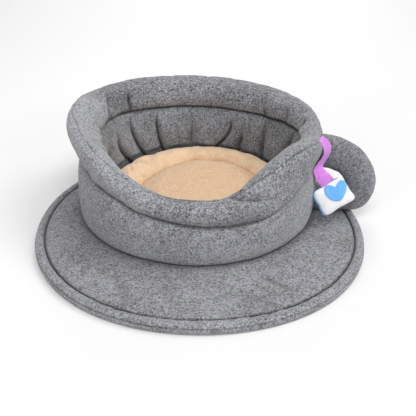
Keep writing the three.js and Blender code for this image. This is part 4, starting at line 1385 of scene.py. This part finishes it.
@dataclass
class Cushion:
    """The round plush pad with its sewn ring."""

    radius: float = 156.0
    seam_radius: float = 102.0
    lift: float = 2.6
    columns: int = 120
    # How high the pad may stand.
    highest: float = 43.0
    # Heights between which the pad's underside turns into its top, and from which radius on its rim lies.
    turning: tuple[float, float] = (14.0, 26.0)
    rim: float = 143.0
    puffing: Puffing = Puffing(voxel=6.6, cap=7.0, growth=0.05)
    # Where the sewn ring really runs, pulled towards the back on the right.
    seam_course: Course = Course(
        "azimuth radius",
        (
            (-170, 111), (-152, 99), (-133, 92.5), (-113, 93.5), (-95, 99), (-60, 103), (0, 105), (60, 107),
            (113, 113.5), (150, 115.5), (174, 117),
        ),
    )

    def start(self) -> tuple[Array, list]:
        """The pad before it is puffed up, with a wide shallow dip where the ring is sewn.

        Returns:
            Its points and faces.
        """
        out, seam = self.radius - 1.0, self.seam_radius
        ring = [(out - 14, 0), (out - 4, 4), (out, 13), (out, 25), (out - 3, 33), (out - 11, 37)]
        ring += [(seam + 22, 36), (seam + 9, 32), (seam, 27.5), (seam - 9, 31), (seam - 26, 34), (0, 35.5)]
        section = section_of(([(0, 0), (out - 14, 0)], 12, 1.0), (ring, 60, 1.0))
        radius, height = section_rows(section)
        grid = polar(radius, azimuths(self.columns), height)
        return with_poles(grid), pole_faces(*grid.shape[:2])

    def held(self, places: Array) -> Array:
        """Which points the seam and the bed under the pad hold."""
        from_seam = np.abs(np.hypot(places[:, 0], places[:, 1]) - self.seam_radius)
        return (places[:, 2] < 3.0) | ((from_seam < 4.5) & (places[:, 2] > 20.0))

    def ripples(self, radius: Array, azimuth: Array) -> Array:
        """Slanting ripples that the ring is pushed into on the left, -1 to 1."""
        along = 0.68 * (radius - 125.0) + 1.61 * (azimuth + 108.0)
        return np.sin(2 * np.pi * along / 13.0) * bell(azimuth + 109.0, 10.0) * bell(radius - 126.0, 16.0)

    def swell(self, radius: Array, azimuth: Array, points: Array) -> Array:
        """How much higher the pad stands here and there, in millimetres.

        Args:
            radius: Distances from the pad's middle, with the seam still a circle.
            azimuth: Degrees from the front.
            points: Places in millimetres.

        Returns:
            The heights.
        """
        out, seam = self.radius, self.seam_radius
        seam_foot, edge_foot = polar(seam, azimuth, 0.0), polar(out, azimuth, 0.0)
        rise = 1.1 * clumps(seam_foot, 11.0, Noise.CUSHION) * bell(radius - seam - 4.0, 12.0)
        rise = rise + 1.1 * clumps(edge_foot, 34.0, Noise.CUSHION) * bell(radius - out, 26.0)
        rise = rise + layers(points, (1.6, 60.0, Noise.CUSHION), (0.6, 24.0, Noise.CUSHION_FINE))
        rise = rise - 3.2 * bell(radius - seam, 3.2) + 2.4 * bell(radius - out + 7.0, 8.0)
        dips = clumps(edge_foot, 42.0, Noise.CUSHION_DIPS) ** 2
        rise = rise - 2.0 * dips * bell(radius - (out + seam) / 2, 18.0)
        rise = rise + 2.4 * self.ripples(radius, azimuth)
        back = smoothstep(60.0, 105.0, radius) * bell(turn_between(-178.0, azimuth), 26.0)
        return rise + self.lift * (radius / out) * np.sin(np.radians(azimuth - 40.0)) - 5.0 * back

    def calmed(self, value: Array, azimuth: Array, rim: Array, slots: int = 120) -> Array:
        """What brings the highest values round the pad's rim near to their running mean.

        Args:
            value: Heights or radii of the points.
            azimuth: Degrees from the front.
            rim: Which points belong to the rim.
            slots: Into how many parts the rim is cut.

        Returns:
            What to add to each point's value.
        """
        slot = ((azimuth + 180.0) * slots / 360.0).astype(int) % slots
        peak = np.array([value[rim & (slot == k)].max() for k in range(slots)])
        weight = bell(turn_between(0.0, np.arange(slots) * 360.0 / slots), 24.0)
        mean = np.array([(peak * np.roll(weight, k)).sum() for k in range(slots)]) / weight.sum()
        middle = (np.arange(slots) + 0.5) * 360.0 / slots - 180.0
        return 0.85 * np.interp(azimuth, middle, mean - peak, period=360.0)

    def build(self, finish: bpy.types.Material) -> None:
        """Args:
            finish: Its material.
        """
        out, seam = self.radius, self.seam_radius
        points, faces = self.puffing.run("cushion", *self.start(), self.held)
        radius, azimuth = around(points)
        top = smoothstep(*self.turning, points[:, 2])
        z = points[:, 2] + top * self.swell(radius, azimuth, points)
        z = z + top * smoothstep(112.0, 142.0, radius) * self.calmed(z, azimuth, radius > self.rim)
        points[:, 2] = z = np.clip(z, 0.0, self.highest)
        wider = top * smoothstep(118.0, 145.0, radius) * self.calmed(radius, azimuth, z > self.turning[1])
        tucks = np.clip(-clumps(polar(seam, azimuth, 0.0), 9.0, Noise.CUSHION_TUCKS), 0.0, 1.0)
        ripples = np.clip(-self.ripples(radius, azimuth), 0.0, 1.0)
        # Painted shade along the sewn ring, in its tucks and ripples and round the rim; the nap mark gives
        # the disc inside the ring a darker tone.
        fold = 0.75 * bell(radius - seam, 1.8) + 0.4 * bell(radius - seam - 3.0, 9.0)
        fold = top * (fold + 0.4 * tucks * bell(radius - seam - 6.0, 9.0) + 0.4 * ripples)
        fold = np.clip(fold + 0.4 * smoothstep(out - 9, out - 1, radius), 0.0, 1.0)
        middle_nap = 1.4 * smoothstep(seam + 3, seam - 3, radius)
        warped = np.interp(radius, [0.0, seam, out], [0.0, 1.0, 2.0])
        ring = self.seam_course.at("radius", azimuth)
        moved = np.where(warped < 1.0, warped * ring, ring + (warped - 1.0) * (out - ring))
        points[:, :2] *= (np.minimum(moved + wider, out) / np.maximum(radius, 0.001))[:, None]
        points = points + CUP_CENTRE + (0.0, 0.0, CUP_FLOOR)
        obj = add_object("cushion_plush", points, faces, finish, fold=fold, nap=0.3 - middle_nap)
        turn_out(obj)
        settle(obj, "cushion")


@dataclass
class Handle:
    """The padded C at the right: two panels sewn along their edges."""

    azimuth: float = 85.5
    half_thickness: float = 16.0
    steps: int = 260
    corners: int = 96
    # About how long its course is, which spaces the puckers along its seams.
    length: float = 420.0
    # How boxy its section is, 1 for round, and the painted shade that darkens all of it.
    power: float = 0.86
    nap: float = -0.3
    # Course of its middle, from the roll round to the foot: distance from the cup's axis, height, half width.
    course_rows: Rows = (
        (186, 125.5, 27.5), (202, 125.5, 28.5), (228, 122, 27.5), (254, 109, 26), (273, 86, 26),
        (277, 62, 25.5), (268.5, 42, 24), (246, 37, 20.5), (218, 36, 19.5), (188, 38, 19.5),
    )

    def section(self) -> tuple[Array, Array, Array]:
        """One round of the section.

        Returns:
            Places across the panels and through them, -1 to 1, and how far each is from a seam, 0 to 1.
        """
        turn = np.linspace(0.0, 2 * math.pi, self.corners, endpoint=False)
        across, through = signed_power(np.cos(turn), self.power), signed_power(np.sin(turn), self.power)
        return across, through, np.abs(np.sin(turn - 0.16))

    def build(self, finish: bpy.types.Material, cup: Cup) -> None:
        """Args:
            finish: Its material.
            cup: The cup that it is sewn to.
        """
        line = spline(self.course_rows, self.steps, weight=(1.0, 1.0, 0.0))
        middle = np.stack([line[:, 0], np.zeros(self.steps), line[:, 1]], axis=1)
        plane = np.array([0.0, 1.0, 0.0])
        side = np.cross(unit(np.gradient(middle, axis=0)), plane)
        across, through, edge = self.section()
        offset = (across * line[:, 2:])[..., None] * side[:, None]
        offset = offset + (through * self.half_thickness)[:, None] * plane
        rings = middle[:, None] + offset
        along = np.linspace(0.0, self.length, self.steps)[:, None]
        seam_foot = np.stack(np.broadcast_arrays(along, np.sign(across) * 50.0, 0.0), axis=-1)
        swell = 0.7 * clumps(seam_foot, 13.0, Noise.HANDLE) * bell(edge, 0.45) - 1.1 * bell(edge, 0.06)
        swell = swell + layers(rings, (1.3, 42.0, Noise.HANDLE), (0.4, 15.0, Noise.HANDLE_FINE))
        rings = rings + swell[..., None] * unit(offset)
        z = np.clip(rings[..., 2], CUP_FLOOR, None)
        radius, azimuth = around(rings)
        azimuth = azimuth + self.azimuth - 90.0
        radius = np.maximum(radius, cup.reach(azimuth, z) + 0.2)
        grid = capped(polar(radius, azimuth, z) + CUP_CENTRE)
        # Painted shade along the seams, and over the whole handle through the nap mark.
        fold = 0.8 * bell(edge, 0.08)[:, None]
        obj = round_object("handle_cloth", grid, finish, fold, self.nap, poles=True)
        turn_out(obj)
        settle(obj, "handle")


@dataclass
class Tag:
    """The small pillow on its ribbon: white in front, blue behind, with a heart."""

    width: float = 55.5
    height: float = 45.0
    front_crown: float = 7.0
    back_crown: float = 6.5
    centre: tuple[float, float, float] = (217.0, -7.6, 70.0)
    turn: float = 32.0
    tilt: float = 70.0
    columns: int = 200
    heart_size: tuple[float, float] = (37.0, 33.0)
    heart_middle: tuple[float, float] = (7.3, 3.0)
    heart_turn: float = -10.0
    # Shares of the heart's reach from its middle below to its middle on top, and of its thickness there.
    heart_reach: Sequence[float] = (0, 0.2, 0.4, 0.6, 0.8, 0.95, 1, 1.012, 0.99, 0.955, 0.8, 0.6, 0.4, 0.2, 0)
    heart_level: Sequence[float] = (0, 0, 0, 0, 0, 0, 0.12, 0.5, 0.86, 1, 1, 1, 1, 1, 1)
    # How thick the heart is, and how far it lies off the pillow.
    heart_thick: float = 1.3
    heart_off: float = 0.35
    ribbon_width: float = 24.0
    ribbon_half: float = 1.1
    ribbon_corners: int = 44
    # Course of the ribbon's middle from the crest of the roll to the tag, and which way it is wide there.
    ribbon_rows: Rows = (
        (188.6, 11.3, 163.2, 0.47, 0.88, -0.07), (195.9, 13.3, 157.2, 0.51, 0.86, -0.04),
        (201.7, 14.9, 147.8, 0.56, 0.82, 0.06), (203.4, 14.5, 139.7, 0.61, 0.79, 0.04),
        (201.5, 14.1, 130.7, 0.66, 0.75, -0.03), (197.3, 12.8, 124.0, 0.67, 0.73, -0.12),
        (193.3, 11.0, 117.6, 0.64, 0.74, -0.2), (190.0, 6.5, 112.0, 0.76, 0.64, -0.12),
        (194.0, 3.0, 104.6, 0.84, 0.5, 0.12), (200.5, 0.9, 96.8, 0.81, 0.34, 0.44),
        (207.0, -1.0, 89.3, 0.75, 0.23, 0.62),
    )

    def turns(self) -> Array:
        """Turns of a grid's columns in radians."""
        return np.linspace(0.0, 2 * math.pi, self.columns, endpoint=False)[:, None]

    def placed(self, points: Array) -> Array:
        """Points carried from the tag's own plane to the part's frame.

        Args:
            points: Places across the tag, up it and out of it.

        Returns:
            The places in the part's frame.
        """
        turn, tilt = math.radians(self.turn), math.radians(self.tilt)
        x = points[..., 0] * math.cos(turn) - points[..., 1] * math.sin(turn)
        y = points[..., 0] * math.sin(turn) + points[..., 1] * math.cos(turn)
        z = points[..., 2]
        there = [x, y * math.cos(tilt) - z * math.sin(tilt), y * math.sin(tilt) + z * math.cos(tilt)]
        return np.stack(there, axis=-1) + np.array(self.centre)

    def outline(self, turn: Array) -> Array:
        """Radius of the pillow's outline, a square with drawn-in sides.

        Args:
            turn: Turns in the tag's plane.

        Returns:
            The radii, as shares of the tag's width or height.
        """
        cos, sin, degrees = np.abs(np.cos(turn)), np.abs(np.sin(turn)), np.degrees(turn)
        uneven = 0.008 * np.sin(9 * turn + 1.0) - 0.02 * np.cos(4 * turn)
        for at, height, half in ((-45, 0.05, 16), (-135, 0.045, 13), (180, 0.022, 26), (45, -0.045, 14)):
            uneven = uneven + height * bell(turn_between(at, degrees), half)
        return 0.5 * (cos**6 + sin**6) ** (-1 / 6) * (1 + uneven)

    def crown(self, share: Array) -> Array:
        """Height of the pillow over its seam, 1 at the middle."""
        return np.sqrt(np.clip(1 - np.asarray(share) ** 2.1, 0, 1))

    def build_half(self, front: bool, finish: bpy.types.Material) -> None:
        """Build and declare one half of the pillow.

        Args:
            front: Whether it is the white front or the blue back.
            finish: Its material.
        """
        turn = self.turns()
        flat, share = 22, np.sin(np.linspace(math.pi / 2, 0, 40))[1:]
        share = np.concatenate([np.linspace(0, 1, flat), share])[None, :]
        upper = np.arange(share.shape[1])[None, :] >= flat - 1
        facing = turn if front else math.pi - turn
        reach, crown, grow = self.outline(facing), self.front_crown, 0.0
        if not front:
            reach = reach + 0.03 * bell(turn_between(60.0, np.degrees(facing)), 9.0)
            crown, grow = self.back_crown, 0.6
        x = reach * share * np.cos(turn) * (self.width + grow)
        y = reach * share * np.sin(turn) * (self.height + grow)
        rise = np.where(upper, crown * self.crown(share), 0.0)
        foot = np.concatenate([np.cos(turn) * 27, np.sin(turn) * 27, 0 * turn], axis=1)[:, None, :]
        pucker = 0.55 * clumps(foot, 5.0, Noise.TAG) * bell(share - 0.9, 0.16)
        rise = rise + np.where(upper, pucker * smoothstep(0.0, 0.5, rise), 0.0)
        grid = np.stack(np.broadcast_arrays(x, y, rise), axis=-1)
        if not front:
            grid = grid * (-1.0, 1.0, -1.0) + (-1.8, 0.3, -GAP)
        # Painted shade along the seam round the outline and over the pillow's right part.
        fold = 0.3 * smoothstep(0.95, 1.0, share)
        nap = -1.5 * bell(turn_between(15.0, np.degrees(facing)), 50.0) * share
        name = "tag_front" if front else "tag_back"
        obj = round_object(name + "_felt", self.placed(grid), finish, fold, nap, poles=True)
        settle(obj, name)

    def build_heart(self, finish: bpy.types.Material) -> None:
        """Args:
            finish: Its material.
        """
        turn, (width, height) = self.turns(), self.heart_size
        hx = 16 * signed_power(np.sin(turn), 2.1) / 32
        hy = (13 * np.cos(turn) - 5 * np.cos(2 * turn) - 2 * np.cos(3 * turn) - np.cos(4 * turn) + 2.5) / 32
        hy = hy + 0.03 * bell(np.minimum(turn, 2 * math.pi - turn), 0.45)
        full = 1.0 + 0.19 * bell(turn - 1.26 * math.pi, 0.42)
        hx, hy = hx * full, hy * full
        hy = np.where(hy < -0.3, -0.3 + (hy + 0.3) * 0.5, hy)
        lean = math.radians(self.heart_turn)
        reach, level = np.array(self.heart_reach) * width, np.array(self.heart_level)
        x = self.heart_middle[0] + reach * (hx * math.cos(lean) - hy * math.sin(lean))
        y = self.heart_middle[1] + reach * (hx * math.sin(lean) + hy * math.cos(lean))
        inside = np.hypot(x / self.width, y / self.height)
        inside = inside / self.outline(np.arctan2(y / self.height, x / self.width))
        z = self.front_crown * self.crown(inside) + self.heart_off + level * self.heart_thick
        grid = self.placed(np.stack([x, y, z], axis=-1))
        obj = round_object("tag_heart_felt", grid, finish, 0.0, poles=True)
        turn_out(obj)
        declare(obj, "tag_heart")

    def build_ribbon(self, finish: bpy.types.Material) -> None:
        """Args:
            finish: Its material.
        """
        line = spline(self.ribbon_rows, 120, weight=(1, 1, 1, 0, 0, 0))
        middle, side = line[:, :3], line[:, 3:]
        face = unit(np.cross(unit(np.gradient(middle, axis=0)), side))
        turn = np.linspace(0.0, 2 * math.pi, self.ribbon_corners, endpoint=False)[:, None]
        wide = signed_power(np.cos(turn), 0.35) * self.ribbon_width / 2
        thick = signed_power(np.sin(turn), 0.5) * self.ribbon_half
        rings = middle[:, None] + wide * unit(side)[:, None] + thick * face[:, None]
        obj = round_object("tag_ribbon_felt", capped(rings), finish, 0.0, poles=True)
        turn_out(obj)
        declare(obj, "tag_ribbon")


@dataclass
class Studio:
    """The pale floor, the soft light and the camera."""

    lens: float = 59.38
    place: tuple[float, float, float] = (-0.0015, -0.9804, 0.6181)
    pitch: float = 57.979
    shift: tuple[float, float] = (0.02115, 0.04644)
    # The lamps: where each stands, how wide it is and its power in watts.
    lamps: tuple[tuple[str, tuple, float, float], ...] = (
        ("top front lamp", (0.0, -1.6, 2.6), 1.6, 52.0),
        ("top right lamp", (1.7, 0.0, 2.6), 1.6, 40.0),
        ("right lamp", (1.9, -2.0, 1.3), 1.4, 22.0),
        ("left lamp", (-1.9, -2.0, 1.3), 1.4, 18.0),
        ("back lamp", (0.0, 2.8, 1.3), 1.6, 23.0),
        ("top back lamp", (0.0, 1.6, 2.6), 1.6, 10.0),
    )
    lit: tuple[float, float, float] = (0.0, 0.0, 0.06)

    def build_floor(self) -> None:
        """Build the floor."""
        bpy.ops.object.select_all(action="DESELECT")
        bpy.ops.mesh.primitive_plane_add(size=12.0, location=(0, 0, -0.0005))
        floor = bpy.context.active_object
        floor.name = "studio_floor"
        bpy.ops.object.transform_apply(location=True, rotation=True, scale=True)
        look, wire, shader = new_look("pale floor")
        place = wire.place()
        parts = wire.add("SeparateXYZ", None, Vector=place).outputs
        grain = wire.scaled(wire.noise(place, 3.0, 2.0, 0.5, 0.0), 0.1)
        slope = (wire.scaled(parts["Y"], 0.5), wire.scaled(parts["X"], -0.5))
        tone = wire.total(*slope, grain, 0.45, clamp=True)
        wire.feed(shader.inputs["Base Color"], wire.mix(tone, (0.69, 0.69, 0.69, 1), (0.88, 0.88, 0.88, 1)))
        shader.inputs["Roughness"].default_value = 0.9
        shader.inputs["Specular IOR Level"].default_value = 0.1
        floor.data.materials.append(look)

    def build_light(self) -> None:
        """Add the lamps and the even surrounding light."""
        world = bpy.data.worlds.new("studio air")
        bpy.context.scene.world = world
        world.use_nodes = True
        air = world.node_tree.nodes["Background"]
        air.inputs["Color"].default_value = (1.0, 1.0, 1.0, 1)
        air.inputs["Strength"].default_value = 0.2
        for name, place, size, power in self.lamps:
            lamp = bpy.data.lights.new(name, "AREA")
            lamp.energy = power
            lamp.size = size
            obj = bpy.data.objects.new(name, lamp)
            obj.location = place
            obj.rotation_euler = (Vector(self.lit) - Vector(place)).to_track_quat("-Z", "Y").to_euler()
            bpy.context.scene.collection.objects.link(obj)
        bpy.context.scene.view_settings.view_transform = "Standard"

    def build_camera(self) -> None:
        """Add the camera at the photograph's viewing angle."""
        data = bpy.data.cameras.new("camera")
        data.lens = self.lens
        data.sensor_width = 36.0
        data.shift_x, data.shift_y = self.shift
        camera = bpy.data.objects.new("camera", data)
        camera.location = self.place
        camera.rotation_euler = (math.radians(self.pitch), 0.0, 0.0)
        bpy.context.scene.collection.objects.link(camera)
        bpy.context.scene.camera = camera


def main() -> None:
    """Build every piece in order."""
    logging.basicConfig(level=logging.INFO, format="%(name)s: %(message)s")
    finishes = Finishes()
    saucer = Saucer()
    saucer.build_mat(finishes.felt)
    saucer.build_edge(finishes.felt)
    cup = Cup()
    cup.build_wall(finishes.felt)
    cup.build_lining(finishes.lining)
    cup.build_roll(finishes.felt)
    Cushion().build(finishes.plush)
    Handle().build(finishes.handle, cup)
    tag = Tag()
    tag.build_ribbon(finishes.purple)
    tag.build_half(True, finishes.white)
    tag.build_half(False, finishes.blue)
    tag.build_heart(finishes.light_blue)
    studio = Studio()
    studio.build_floor()
    studio.build_light()
    studio.build_camera()


if __name__ == "__main__":
    main()
